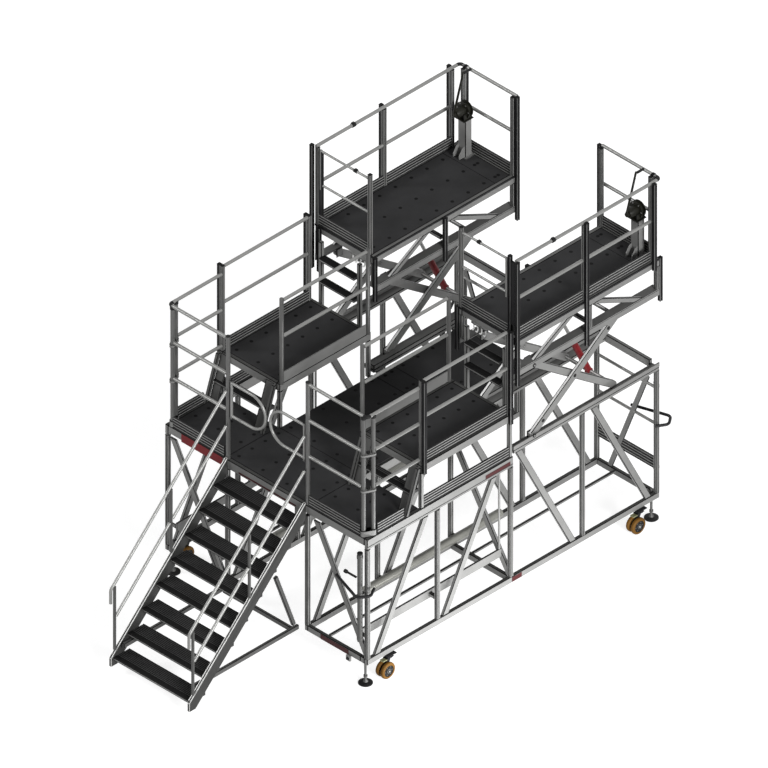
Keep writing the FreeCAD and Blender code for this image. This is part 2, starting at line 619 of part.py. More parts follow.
def short_stairs():
    """Steep two-riser steps from the lower deck to each middle platform."""
    foot = LOWER_DECK_TOP + WELD_GAP
    head = MIDDLE_DECK_TOP
    run = STEP_HEAD_X - STEP_FOOT_X
    slope = run / (head - foot)
    half = STEP_PROFILE / 2
    z = LOWER_DECK_TOP + (MIDDLE_DECK_TOP - LOWER_DECK_TOP) / 2 - 25
    tread_x = (STEP_FOOT_X + slope * (z - foot) + 30, MIDDLE_START - WELD_GAP)
    shapes = [box(tread_x, (STEP_WALLS[0][1] + WELD_GAP, STEP_WALLS[1][0] - WELD_GAP), (z - 40, z))]
    notch = box((tread_x[0] - 1, MIDDLE_START), (STEP_WALLS[0][0], STEP_WALLS[1][1]), (z - 41, z + 1))
    for wall, flange in zip(STEP_WALLS, STEP_FLANGES):
        window = box((STEP_FOOT_X - 50, MIDDLE_START - WELD_GAP), wall, (foot, head - 12))
        start = (STEP_FOOT_X + half - 100 * slope, sum(wall) / 2, foot - 100)
        end = (STEP_HEAD_X + half + 100 * slope, sum(wall) / 2, head + 100)
        shapes.append(bar(start, end, STEP_PROFILE, STEP_PROFILE).common(window))
        window = box((STEP_FOOT_X, MIDDLE_START - WELD_GAP), flange, (foot, head - 12))
        y = sum(flange) / 2
        start = (start[0] + half, y, start[2])
        end = (end[0] + half, y, end[2])
        plate = bar(start, end, 6, flange[1] - flange[0]).common(window)
        shapes += plate.cut(notch).Solids
    node("short_stairs", both_sides(shapes))


def ladders():
    """Ladders from the middle to the upper platforms."""
    shapes = []
    x = (MIDDLE_END + WELD_GAP, MIDDLE_END + PROFILE)
    walls = ((800, 850), (1390, 1440))
    for wall in walls:
        shapes.append(box(x, wall, (MIDDLE_RIM_BOTTOM, UPPER_RIM_BOTTOM - 45)))
    for z in (2860, 3155):
        shapes.append(box((MIDDLE_END - 40, MIDDLE_END + PROFILE), (walls[0][1] + WELD_GAP, walls[1][0] - WELD_GAP), (z - 35, z)))
    node("ladders", both_sides(shapes))


# ---------------------------------------------------------------- stairs


def stairs():
    """Main stair: treads, stringers, handrails and the frame under it."""
    treads = []
    for step in range(STAIR_RISERS - 1):
        nose = -(STAIR_RISERS - 1 - step) * STAIR_GOING
        top = STAIR_RISE * (step + 1)
        inner = STAIR_HALF_WIDTH - STRINGER_THICKNESS - WELD_GAP
        treads.append(
            box((nose, nose + STAIR_TREAD_DEPTH), (-inner, inner), (top - STAIR_TREAD_THICKNESS, top))
        )
    node("stair_treads", treads)
    wall = (STAIR_HALF_WIDTH - STRINGER_THICKNESS, STAIR_HALF_WIDTH)
    y = sum(wall) / 2
    slope = STAIR_RISE / STAIR_GOING
    foot_x = -(STAIR_RISERS - 1) * STAIR_GOING
    below = 70
    stringer = bar(
        (foot_x - 300, y, LOWER_DECK_TOP + slope * (foot_x - 300) - below),
        (300, y, LOWER_DECK_TOP + slope * 300 - below),
        STRINGER_DEPTH,
        STRINGER_THICKNESS,
    )
    window = box((foot_x - 40, -WELD_GAP), wall, (100, LOWER_DECK_TOP + 30))
    node("stair_stringers", both_sides([stringer.common(window)]))
    rail_y = STAIR_HALF_WIDTH - STRINGER_THICKNESS / 2
    tube = GUARD_TUBE - 4
    rail_end = -14
    posts_x = (foot_x + 30, foot_x / 2 + 20)

    def line(x, rise):
        return LOWER_DECK_TOP + slope * x + rise

    top_rail = [
        (posts_x[0] - 60, rail_y, line(posts_x[0], STAIR_RAIL_TOP - 240)),
        (posts_x[0] - 60, rail_y, line(posts_x[0] - 60, STAIR_RAIL_TOP)),
        (rail_end, rail_y, line(rail_end, STAIR_RAIL_TOP)),
    ]
    rails = rails_with_elbows(top_rail, tube, 60)
    stops = [posts_x[0], posts_x[1], rail_end]
    aside = tube / 2 + 1
    for start, end in zip(stops, stops[1:]):
        low = (start + aside, rail_y, line(start + aside, STAIR_RAIL_MIDDLE))
        high_x = end - aside if end != stops[-1] else end
        rails.append(rod(low, (high_x, rail_y, line(high_x, STAIR_RAIL_MIDDLE)), tube))
    below_rail = tube / 2 * math.hypot(1, slope) + tube / 2 * slope + 1
    for px in posts_x:
        rails.append(rod((px, rail_y, line(px, STRINGER_CLEAR)), (px, rail_y, line(px, STAIR_RAIL_TOP) - below_rail), tube))
    node("stair_handrails", both_sides(rails))
    frame = [
        bar((foot_x + 100, y - 60, 340), (-PROFILE, y - 60, 340), 60, 40),
        bar((-400, y - 60, 1170), (-120, y - 60, 400), 50, 40),
    ]
    cross = box((-150, -110), (-(y - 80) + WELD_GAP, y - 80 - WELD_GAP), (300, 360))
    node("stair_frame", both_sides(frame) + [cross])


# ---------------------------------------------------------------- gates


def gate(pivot_x, pivot_y, free_y, low, high):
    """A D-shaped tube gate in the plane X = pivot_x, hinged on its own upright."""
    inset = GATE_TUBE / 2 + 6
    radius = (high - low) / 2 - inset
    sense = 1 if free_y > pivot_y else -1
    bend_y = free_y - sense * (radius + GATE_TUBE / 2)
    centre = Vector(pivot_x, bend_y, (low + high) / 2)
    ring = Part.makeTorus(radius, GATE_TUBE / 2, centre, Vector(sense, 0, 0))
    beyond = sorted((bend_y, bend_y + sense * 2 * radius))
    half_ring = ring.common(box(around(pivot_x, 2 * GATE_TUBE), beyond, (low - GATE_TUBE, high + GATE_TUBE)))
    left, right = max(pivot_y, bend_y), min(pivot_y, bend_y)
    arms = [rod((pivot_x, left, z), (pivot_x, right, z), GATE_TUBE) for z in (low + inset, high - inset)]
    upright = rod((pivot_x, pivot_y, low), (pivot_x, pivot_y, high), GATE_TUBE)
    return fused([upright, half_ring] + arms)


def stair_gates():
    """The two leaves that close the top of the main stair, the right one turned over."""
    leaf = gate(30, GATE_PIVOT_Y, GATE_FREE_Y, GATE_BOTTOM, GATE_TOP)
    node("stair_gate_left", [leaf])
    turned = leaf.copy()
    turned.rotate(Vector(30, 0, (GATE_BOTTOM + GATE_TOP) / 2), Vector(1, 0, 0), 180)
    node("stair_gate_right", [turned])


# ---------------------------------------------------------------- wheels and feet

CORNERS = {
    "near_left": (CASTER_NEAR_X, 1, FOOT_X, JACK_X),
    "near_right": (CASTER_NEAR_X, -1, FOOT_X, JACK_X),
    "far_left": (CASTER_FAR_X, 1, BASE_LENGTH - FOOT_X, BASE_LENGTH - JACK_X),
    "far_right": (CASTER_FAR_X, -1, BASE_LENGTH - FOOT_X, BASE_LENGTH - JACK_X),
}


JACK_CORNERS = ("near_right", "far_left", "far_right")    # with a jack column and a push handle


def casters():
    """Swivel forks with twin wheels, and the fixed plates above them."""
    plates = []
    for corner, (x, sense, foot_x, jack_x) in CORNERS.items():
        y = sense * CASTER_Y
        plates.append(box(around(x, 140), around(y, 110), (FRAME_BOTTOM - 10, FRAME_BOTTOM - WELD_GAP)))
        centre_x = x - CASTER_TRAIL
        centre_z = WHEEL_DIAMETER / 2
        head = rod((x, y, FRAME_BOTTOM - 40), (x, y, FRAME_BOTTOM - 10.6), 90)
        bridge = box((x - 60, x + 45), around(y, 60), (FRAME_BOTTOM - 52, FRAME_BOTTOM - 40))
        stem = bar((x + 5, y, FRAME_BOTTOM - 46), (centre_x, y, centre_z), 60, 14)
        axle = rod(
            (centre_x, y - WHEEL_SPACING / 2 - WHEEL_WIDTH / 2 - 6, centre_z),
            (centre_x, y + WHEEL_SPACING / 2 + WHEEL_WIDTH / 2 + 6, centre_z),
            16,
        )
        boss = rod((centre_x, y - 11, centre_z), (centre_x, y + 11, centre_z), 50)
        node("caster_fork_" + corner, [fused([head, bridge, stem, boss, axle])])
        wheels = []
        for shift in (-WHEEL_SPACING / 2, WHEEL_SPACING / 2):
            start = (centre_x, y + shift - WHEEL_WIDTH / 2, centre_z)
            end = (centre_x, y + shift + WHEEL_WIDTH / 2, centre_z)
            wheels.append(pipe(start, end, WHEEL_DIAMETER, 16.12))
        node("caster_wheels_" + corner, wheels)
    node("caster_plates", plates)


def feet():
    """Screw-down feet under the corner blocks, and the jack columns and push handles above them."""
    columns = []
    handles = []
    for corner, (_, sense, foot_x, jack_x) in CORNERS.items():
        y = sense * FOOT_Y
        disc = Part.makeCone(FOOT_DIAMETER / 2, FOOT_DIAMETER / 2 - 25, 26, Vector(foot_x, y, 0))
        spindle = rod((foot_x, y, 20), (foot_x, y, BOTTOM_RAIL_TOP + 30), SPINDLE_DIAMETER)
        node("foot_" + corner, [fused([disc, spindle])])
        if corner not in JACK_CORNERS:
            continue
        jack_y = sense * JACK_Y
        columns.append(rod((jack_x, jack_y, 600), (jack_x, jack_y, 1770), JACK_TUBE))
        out = -1 if jack_x < BASE_LENGTH / 2 else 1
        face = -17 - WELD_GAP if out == -1 else BASE_LENGTH + 17 + WELD_GAP
        edge = sense * BASE_HALF_WIDTH
        handles.append(
            bent_rod(
                [
                    (face, sense * (BASE_HALF_WIDTH - 460), 1290),
                    (face + out * 153, edge, 1290),
                    (face + out * 30, edge + sense * 95, 1290),
                    (face - out * 102, edge + sense * 18, 1290),
                ],
                34,
                60,
            )
        )
    node("jack_columns", columns)
    node("push_handles", handles)


# ---------------------------------------------------------------- scissor lifts


def arm(low, high, wall, holes):
    """A flat arm with round ends between two pins, with a hole at each place in holes."""
    y = sum(wall) / 2
    body = bar((low[0], y, low[1]), (high[0], y, high[1]), ARM_DEPTH, wall[1] - wall[0])
    ends = [rod((p[0], wall[0], p[1]), (p[0], wall[1], p[1]), ARM_DEPTH) for p in (low, high)]
    solid = fused([body] + ends)
    for (x, z), diameter in holes:
        solid = solid.cut(rod((x, wall[0] - 1, z), (x, wall[1] + 1, z), diameter))
    return solid


def lift(side, sense):
    """Arms, shafts, rollers and cylinder of one scissor lift."""
    near_low = (LIFT_NEAR_X, LIFT_LOW_Z)
    near_high = (LIFT_NEAR_X, LIFT_HIGH_Z)
    far_low = (LIFT_FAR_X, LIFT_LOW_Z)
    far_high = (LIFT_FAR_X, LIFT_HIGH_Z)
    middle = ((LIFT_NEAR_X + LIFT_FAR_X) / 2, (LIFT_LOW_Z + LIFT_HIGH_Z) / 2)
    running = ARM_PIN + 0.12

    pieces = []
    for wall in (ARM_A_OUTER, ARM_A_INNER):
        pieces.append(arm(near_low, far_high, wall, [(near_low, running)]))
    ends = (ARM_A_INNER[1], ARM_A_OUTER[0])
    shaft = rod((far_high[0], ends[0] + WELD_GAP, far_high[1]), (far_high[0], ends[1] - WELD_GAP, far_high[1]), SHAFT_DIAMETER)
    outer_pin = rod((middle[0], ends[1], middle[1]), (middle[0], ARM_B_OUTER[0] - 10, middle[1]), ARM_PIN)
    inner_pin = rod((middle[0], ends[0], middle[1]), (middle[0], ARM_B_INNER[1] + 10, middle[1]), ARM_PIN)
    pieces = [fused([pieces[0], outer_pin]), fused([pieces[1], inner_pin]), shaft]
    node("lift_arms_a_" + side, on_side(pieces, sense))

    pieces = []
    for wall in (ARM_B_OUTER, ARM_B_INNER):
        pieces.append(arm(far_low, near_high, wall, [(near_high, running), (middle, running)]))
    ends = (ARM_B_INNER[1] + WELD_GAP, ARM_B_OUTER[0] - WELD_GAP)
    pieces.append(rod((far_low[0], ends[0], far_low[1]), (far_low[0], ends[1], far_low[1]), SHAFT_DIAMETER))
    node("lift_arms_b_" + side, on_side(pieces, sense))

    y = (ARM_B_OUTER[0] + ARM_B_INNER[1]) / 2
    eye = Vector(far_low[0], y, far_low[1])
    head = Vector(CYLINDER_HEAD_X, y, CYLINDER_HEAD_Z)
    unit = (head - eye).normalize()
    lug = rod((eye.x, y - 25, eye.z), (eye.x, y + 25, eye.z), 80)
    barrel = rod(tuple(eye), tuple(eye + unit * CYLINDER_BARREL), CYLINDER_DIAMETER)
    bore = rod(tuple(eye + unit * 60), tuple(eye + unit * (CYLINDER_BARREL + 10)), ROD_DIAMETER + 2)
    pin_hole = rod((eye.x, y - 60, eye.z), (eye.x, y + 60, eye.z), SHAFT_DIAMETER + 0.2)
    node("lift_cylinder_" + side, on_side([fused([lug, barrel]).cut(bore).cut(pin_hole)], sense))
    rod_eye = rod((head.x, y - 24, head.z), (head.x, y + 24, head.z), 60)
    piston = rod(tuple(head - unit * ROD_LENGTH), tuple(head), ROD_DIAMETER)
    head_hole = rod((head.x, y - 60, head.z), (head.x, y + 60, head.z), 32)
    node("lift_rod_" + side, on_side([fused([rod_eye, piston]).cut(head_hole)], sense))


def cylinder_bracket():
    """Cross beam under an upper platform, and the two lugs that hold the cylinder's rod eye."""
    beam_z = (LOWER_BEAM_TOP + CYLINDER_BEAM_LIFT, LOWER_BEAM_TOP + CYLINDER_BEAM_LIFT + PROFILE)
    between = (UPPER_INNER + PROFILE + WELD_GAP, OUTER[0] - WELD_GAP)
    shapes = [box(around(CYLINDER_BEAM_X, PROFILE), between, beam_z)]
    middle = (ARM_B_OUTER[0] + ARM_B_INNER[1]) / 2
    for lug_y in (middle - LUG_SPREAD, middle + LUG_SPREAD):
        lug_z = (CYLINDER_HEAD_Z - 30, beam_z[0] - WELD_GAP)
        shapes.append(box(around(CYLINDER_HEAD_X, PROFILE), around(lug_y, LUG_THICKNESS), lug_z))
    return shapes


def upper_platform(side, sense):
    """One upper platform: frame, floor, guards, gate and hand winch."""
    height = (UPPER_RIM_BOTTOM, UPPER_DECK_TOP)
    length = (UPPER_START, UPPER_END)
    outer = OUTER
    inner = (UPPER_INNER, UPPER_INNER + PROFILE)
    between = (inner[1] + WELD_GAP, outer[0] - WELD_GAP)
    frame = [box(length, wall, height) for wall in (outer, inner)]
    for x in (UPPER_START, UPPER_END - PROFILE):
        frame.append(box((x, x + PROFILE), between, height))
    # lower beams are channels, open downwards, with the arms' tracks inside
    webs = ((outer[1] - TRACK_WEB, outer[1]), (inner[0], inner[0] + TRACK_WEB))
    flanges = ((outer[1] - TRACK_WIDTH, outer[1]), (inner[0], inner[0] + TRACK_WIDTH))
    for web, flange, a_wall, b_wall, inward in (
        (webs[0], flanges[0], ARM_A_OUTER, ARM_B_OUTER, -1),
        (webs[1], flanges[1], ARM_A_INNER, ARM_B_INNER, 1),
    ):
        beam = box(length, web, (LOWER_BEAM_BOTTOM, TRACK_CEILING - WELD_GAP))
        ceiling = box(length, flange, (TRACK_CEILING, LOWER_BEAM_TOP))
        end = b_wall[0] - RUNNING_GAP if inward == -1 else b_wall[1] + RUNNING_GAP
        start = web[0] - WELD_GAP if inward == -1 else web[1] + WELD_GAP
        far_end = end + inward * 12
        pin = rod((LIFT_NEAR_X, start, LIFT_HIGH_Z), (LIFT_NEAR_X, far_end, LIFT_HIGH_Z), ARM_PIN)
        ear = box(
            around(LIFT_NEAR_X, ARM_DEPTH),
            sorted((end, far_end)),
            (LIFT_HIGH_Z - ARM_DEPTH / 2, LOWER_BEAM_TOP),
        )
        side_of_flange = flange[0] - WELD_GAP if inward == -1 else flange[1] + WELD_GAP
        shelf = box(
            around(LIFT_NEAR_X, ARM_DEPTH),
            sorted((side_of_flange, far_end)),
            (TRACK_CEILING, LOWER_BEAM_TOP),
        )
        frame += [beam, ceiling, fused([pin, ear, shelf])]
    posts_z = (LOWER_BEAM_TOP + WELD_GAP, UPPER_RIM_BOTTOM - WELD_GAP)
    for x in (UPPER_START, UPPER_POST_X - PROFILE / 2, UPPER_END - PROFILE):
        for wall in (outer, inner):
            frame.append(box((x, x + PROFILE), wall, posts_z))
    for wall in (outer, inner):
        y = sum(wall) / 2
        window = box((UPPER_START + PROFILE + WELD_GAP, UPPER_POST_X - PROFILE / 2 - WELD_GAP), wall, posts_z)
        frame.append(
            bar((LIFT_NEAR_X - 170, y, LOWER_BEAM_TOP - 125), (LIFT_NEAR_X + 760, y, UPPER_DECK_TOP + 5), 60, 40).common(window)
        )
        window = box((UPPER_POST_X + PROFILE / 2 + WELD_GAP, UPPER_END - PROFILE - WELD_GAP), wall, posts_z)
        frame.append(
            bar((UPPER_POST_X - 115, y, UPPER_DECK_TOP + 5), (UPPER_END - 100, y, LOWER_BEAM_TOP - 105), 60, 40).common(window)
        )
    frame += cylinder_bracket()
    node("upper_frame_" + side, on_side(frame, sense))

    floor = []
    for plate in ((UPPER_START + PROFILE + 1, WINCH_PLATE_START - 1), (WINCH_PLATE_START + 1, UPPER_END - PROFILE - 1)):
        floor.append(box(plate, (inner[1] + 1, outer[0] - 1), (UPPER_DECK_TOP - PLATE, UPPER_DECK_TOP)))
    toe = (UPPER_DECK_TOP + WELD_GAP, UPPER_DECK_TOP + TOE_HEIGHT)
    near_wall = (LATCH_POST_Y[side] + TOE_CLEAR, min(outer[0] - 2, HINGE_POST_Y[side] - TOE_CLEAR))
    end_wall = (END_POSTS_Y[0] + TOE_CLEAR, END_POSTS_Y[1] - TOE_CLEAR)
    floor.append(box((UPPER_START + 5, UPPER_START + 5 + TOE_THICKNESS), near_wall, toe))
    floor.append(box((UPPER_END - 5 - TOE_THICKNESS, UPPER_END - 5), end_wall, toe))
    for before, after in zip(SIDE_POSTS_X, SIDE_POSTS_X[1:]):
        wall = (outer[0] + 5, outer[0] + 5 + TOE_THICKNESS)
        floor.append(box((before + TOE_CLEAR, after - TOE_CLEAR), wall, toe))
    node("upper_floor_" + side, on_side(floor, sense))

    guards(side, sense)
    winch(side, sense)


def guards(side, sense):
    """Posts, rails and gate of one upper platform. The inner side stays open to the aircraft."""
    grey = []
    black = []
    floor = UPPER_DECK_TOP + WELD_GAP
    top = UPPER_DECK_TOP + UPPER_GUARD_TOP
    rail_z = (UPPER_DECK_TOP + UPPER_GUARD_MIDDLE, top)
    half = SLOT_PROFILE / 2 + WELD_GAP
    under_rail = top - GUARD_TUBE / 2 - WELD_GAP
    side_y = BASE_HALF_WIDTH - GUARD_LINE - 2.5
    end_x = UPPER_END - GUARD_LINE - 2.5
    outer_post_face = side_y - SLOT_PROFILE / 2
    side_posts = SIDE_POSTS_X
    end_posts = END_POSTS_Y
    end_rail_x = UPPER_END + WELD_GAP + SLOT_PROFILE / 2
    outside = (BASE_HALF_WIDTH + WELD_GAP, BASE_HALF_WIDTH + WELD_GAP + SLOT_PROFILE)
    inside = (UPPER_INNER - WELD_GAP - SLOT_PROFILE, UPPER_INNER - WELD_GAP)
    before_end = (UPPER_START - WELD_GAP - SLOT_PROFILE, UPPER_START - WELD_GAP)
    tall = (BLACK_POST_BOTTOM, top + 15)
    short = (BLACK_POST_BOTTOM, UPPER_DECK_TOP)
    from_rim = (UPPER_RIM_BOTTOM, top + 15)
    for x in side_posts:
        grey.append(box(around(x, SLOT_PROFILE), around(side_y, SLOT_PROFILE), (floor, under_rail)))
    near_x = side_posts[0] - SLOT_PROFILE
    for x, height in ((near_x, tall), (side_posts[1], tall), (side_posts[2], from_rim)):
        black.append(box(around(x, SLOT_PROFILE), outside, height))
    for x, height in ((INNER_POSTS_X[0], short), (INNER_POSTS_X[1], short), (UPPER_END, tall)):
        black.append(box(around(x, SLOT_PROFILE), inside, height))
    for y in end_posts:
        grey.append(box(around(end_x, SLOT_PROFILE), around(y, SLOT_PROFILE), (floor, top)))
    black.append(box(around(end_rail_x, SLOT_PROFILE), around(end_posts[1], SLOT_PROFILE), from_rim))
    black.append(box(around(end_rail_x, SLOT_PROFILE), around(FAR_STRIP_Y, SLOT_PROFILE), short))
    black.append(box(before_end, around(NEAR_STRIP_Y, SLOT_PROFILE), short))
    beside_post = end_posts[1] + half
    top_rail = [(UPPER_START, side_y, top), (end_rail_x, side_y, top), (end_rail_x, beside_post, top)]
    grey += rails_with_elbows(top_rail, GUARD_TUBE, GUARD_TUBE)
    for start, end in zip(side_posts, side_posts[1:]):
        grey.append(rod((start + half, side_y, rail_z[0]), (end - half, side_y, rail_z[0]), GUARD_TUBE))
    for z in rail_z:
        start = (end_rail_x, inside[1] + WELD_GAP, z)
        grey.append(rod(start, (end_rail_x, end_posts[1] - half, z), GUARD_TUBE))
    gate_x = UPPER_START + SLOT_PROFILE / 2
    latch_y = LATCH_POST_Y[side]
    hinge_post_y = HINGE_POST_Y[side]
    grey.append(box(around(gate_x, SLOT_PROFILE), around(latch_y, SLOT_PROFILE), (floor, top + 15)))
    if hinge_post_y < outer_post_face:
        black.append(box(around(gate_x, SLOT_PROFILE), around(hinge_post_y, SLOT_PROFILE), (floor, top + 15)))
    node("upper_guards_" + side, on_side(grey, sense))
    node("upper_black_posts_" + side, on_side(black, sense))

    hinge_y = hinge_post_y - half - GATE_TUBE / 2 - HINGE_GAP
    free_y = latch_y + half + 10
    low = rail_z[0] - 60
    pieces = [rod((gate_x, hinge_y, low), (gate_x, hinge_y, rail_z[1] - GUARD_TUBE), GATE_TUBE)]
    for z in (rail_z[0], rail_z[1] - GUARD_TUBE - 10):
        pieces.append(rod((gate_x, hinge_y, z), (gate_x, free_y, z), GATE_TUBE - 4))
    node("upper_gate_" + side, on_side([fused(pieces)], sense))


def winch(side, sense):
    """Hand winch on its pedestal. Both cranks lean the same way."""
    x = UPPER_END - 110
    y = OUTER[1] - 230
    z = UPPER_DECK_TOP + WINCH_HEIGHT
    pedestal = box(around(x, 100), around(y, 120), (UPPER_DECK_TOP + WELD_GAP, z - 110))
    node("winch_pedestal_" + side, on_side([pedestal], sense))
    plate = box((x - 90, x + 60), (y - 90, y + 70), (z - 110 + WELD_GAP, z - 90))
    drum = rod((x - 30, y, z), (x + 50, y, z), 200)
    gearbox = rod((x - 150, y, z), (x - 30, y, z), 110)
    hub_x = x - 165
    hub = rod((hub_x - 15, y, z), (x - 150, y, z), 56)
    body = fused([plate, drum, gearbox, hub])
    y = sense * y
    crank = rod((hub_x, y, z + 28 + WELD_GAP), (hub_x, y - 140, z + 640), 26)
    grip = rod((hub_x + 13, y - 140, z + 625), (hub_x + 120, y - 140, z + 625), 32)
    node("winch_" + side, on_side([body], sense) + [crank.cut(grip), grip])


# ---------------------------------------------------------------- build

bottom_frame()
posts()
top_rails()
lift_tracks()
braces()
bay_rails()
stowed_tubes()
far_face()
lower_floor()
middle_platforms()
front_guard()
middle_guards()
short_stairs()
ladders()
stairs()
stair_gates()
casters()
feet()
for side_name, side_sense in SIDES.items():
    lift(side_name, side_sense)
    upper_platform(side_name, side_sense)
export()
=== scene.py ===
"""Looks of the mobile aircraft maintenance platform, dressed over its CAD frame.

Lengths are metres. spot() takes X from the stand's near face, Y to the left and Z up from the floor.
"""

import json
import math

import bmesh
import bpy
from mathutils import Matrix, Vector


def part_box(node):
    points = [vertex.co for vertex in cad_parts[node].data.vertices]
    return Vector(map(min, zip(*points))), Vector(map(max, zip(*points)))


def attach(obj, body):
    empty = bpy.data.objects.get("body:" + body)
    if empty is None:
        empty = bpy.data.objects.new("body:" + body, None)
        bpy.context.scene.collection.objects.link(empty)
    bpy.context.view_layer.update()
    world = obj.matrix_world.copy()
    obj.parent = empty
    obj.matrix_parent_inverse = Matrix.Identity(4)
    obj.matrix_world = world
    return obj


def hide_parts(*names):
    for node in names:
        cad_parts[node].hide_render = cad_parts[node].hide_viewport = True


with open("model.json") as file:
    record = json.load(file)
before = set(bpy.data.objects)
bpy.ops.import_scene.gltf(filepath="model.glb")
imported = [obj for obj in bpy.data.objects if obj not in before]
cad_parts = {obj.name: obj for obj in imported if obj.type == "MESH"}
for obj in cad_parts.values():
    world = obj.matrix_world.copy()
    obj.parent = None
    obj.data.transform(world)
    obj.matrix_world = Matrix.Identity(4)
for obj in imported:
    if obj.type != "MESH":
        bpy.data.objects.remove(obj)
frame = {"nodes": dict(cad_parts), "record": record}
bpy.context.scene.view_settings.view_transform = "Standard"
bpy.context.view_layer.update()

# ---------------------------------------------------------------- sizes
NEAR_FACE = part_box("bottom_frame")[0].x
FLOOR_PLATE = 0.02
LOWER_DECK = 1.965
UPPER_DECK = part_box("upper_floor_left")[0].z + FLOOR_PLATE
HALF_WIDTH = 1.56
UPPER_START = 2.31
UPPER_END = 4.5
UPPER_INNER = 0.655      # inner face of an upper platform
UPPER_GUARD = 1.04       # top rail of an upper platform above its deck
SIDES = {"left": 1, "right": -1}

STAIR_RISERS = 9
STAIR_GOING = 0.22
STAIR_SLOPE = LOWER_DECK / STAIR_RISERS / STAIR_GOING
STRINGER_TOP = 0.0357    # from the nosing line up to the top of a stringer
STRINGER_EDGES = (0.6165, 0.5885)

LIFT_NEAR = 2.57
LIFT_LOW = 2.08
LIFT_HIGH = 3.017
ARM_LENGTH = 1.594

JACKS = ((-0.031, -1), (4.531, 1), (4.531, -1))    # X and side of each jack column
JACK_Y = 1.476

PROFILE_45 = 0.045
PROFILE_50 = 0.05
EASED_EDGE = 0.008
EDGE_SHARE = 0.17        # the most that an eased edge takes of a thin piece
SCREW_RADIUS = 0.021
PLATE_THICKNESS = 0.003  # of blank plates and wear strips

VIEW_WIDTH = 8.36055
VIEW_AIM = (2.3796, 0.5644, 1.8)
VIEW_DISTANCE = 14
FLOOR_REACH = 40

DULL = 0.12              # specular level of surfaces that hardly mirror the room

BODY_OF = {
    node: body for body, nodes in frame["record"]["behaviour"]["bodies"].items() for node in nodes
}


def spot(x, y, z):
    """A place given from the stand's near face, in the frame's own coordinates."""
    return Vector((NEAR_FACE + x, y, z))


# ---------------------------------------------------------------- materials


def finish(name, colour, roughness, metal=0.0, patchy=0.1, grain=160.0, relief=0.05, specular=0.5):
    """A procedural material: colour that drifts softly, fine grain in the relief and the gloss."""
    material = bpy.data.materials.new(name)
    material.use_nodes = True
    nodes = material.node_tree.nodes
    link = material.node_tree.links.new
    shader = nodes["Principled BSDF"]
    shader.inputs["Metallic"].default_value = metal
    shader.inputs["Specular IOR Level"].default_value = specular
    place = nodes.new("ShaderNodeTexCoord")
    drift = nodes.new("ShaderNodeTexNoise")
    drift.inputs["Scale"].default_value = 3.2
    drift.inputs["Detail"].default_value = 4
    link(place.outputs["Object"], drift.inputs["Vector"])
    ramp = nodes.new("ShaderNodeValToRGB")
    dull = [c * (1 - patchy) for c in colour]
    light = [min(1.0, c * (1 + patchy)) for c in colour]
    ramp.color_ramp.elements[0].position = 0.35
    ramp.color_ramp.elements[0].color = (*dull, 1)
    ramp.color_ramp.elements[1].position = 0.65
    ramp.color_ramp.elements[1].color = (*light, 1)
    link(drift.outputs["Fac"], ramp.inputs["Fac"])
    link(ramp.outputs["Color"], shader.inputs["Base Color"])
    fine = nodes.new("ShaderNodeTexNoise")
    fine.inputs["Scale"].default_value = grain
    fine.inputs["Detail"].default_value = 2
    link(place.outputs["Object"], fine.inputs["Vector"])
    gloss = nodes.new("ShaderNodeMapRange")
    gloss.inputs["To Min"].default_value = max(0.0, roughness - 0.06)
    gloss.inputs["To Max"].default_value = min(1.0, roughness + 0.06)
    link(fine.outputs["Fac"], gloss.inputs["Value"])
    link(gloss.outputs["Result"], shader.inputs["Roughness"])
    bump = nodes.new("ShaderNodeBump")
    bump.inputs["Strength"].default_value = relief
    bump.inputs["Distance"].default_value = 0.002
    link(fine.outputs["Fac"], bump.inputs["Height"])
    link(bump.outputs["Normal"], shader.inputs["Normal"])
    return material


def deck_finish():
    """Dark non-slip deck board: small studs in the relief over a nearly even dark grey."""
    material = finish(
        "deck_board", (0.034, 0.034, 0.035), 0.78, patchy=0.12, grain=420, relief=0.25, specular=DULL
    )
    nodes = material.node_tree.nodes
    link = material.node_tree.links.new
    studs = nodes.new("ShaderNodeTexVoronoi")
    studs.inputs["Scale"].default_value = 130
    studs.inputs["Randomness"].default_value = 0.15
    place = next(n for n in nodes if n.type == "TEX_COORD")
    link(place.outputs["Object"], studs.inputs["Vector"])
    raised = nodes.new("ShaderNodeBump")
    raised.inputs["Strength"].default_value = 0.35
    raised.inputs["Distance"].default_value = 0.0015
    raised.invert = True
    link(studs.outputs["Distance"], raised.inputs["Height"])
    first = next(n for n in nodes if n.type == "BUMP" and n != raised)
    link(raised.outputs["Normal"], first.inputs["Normal"])
    return material


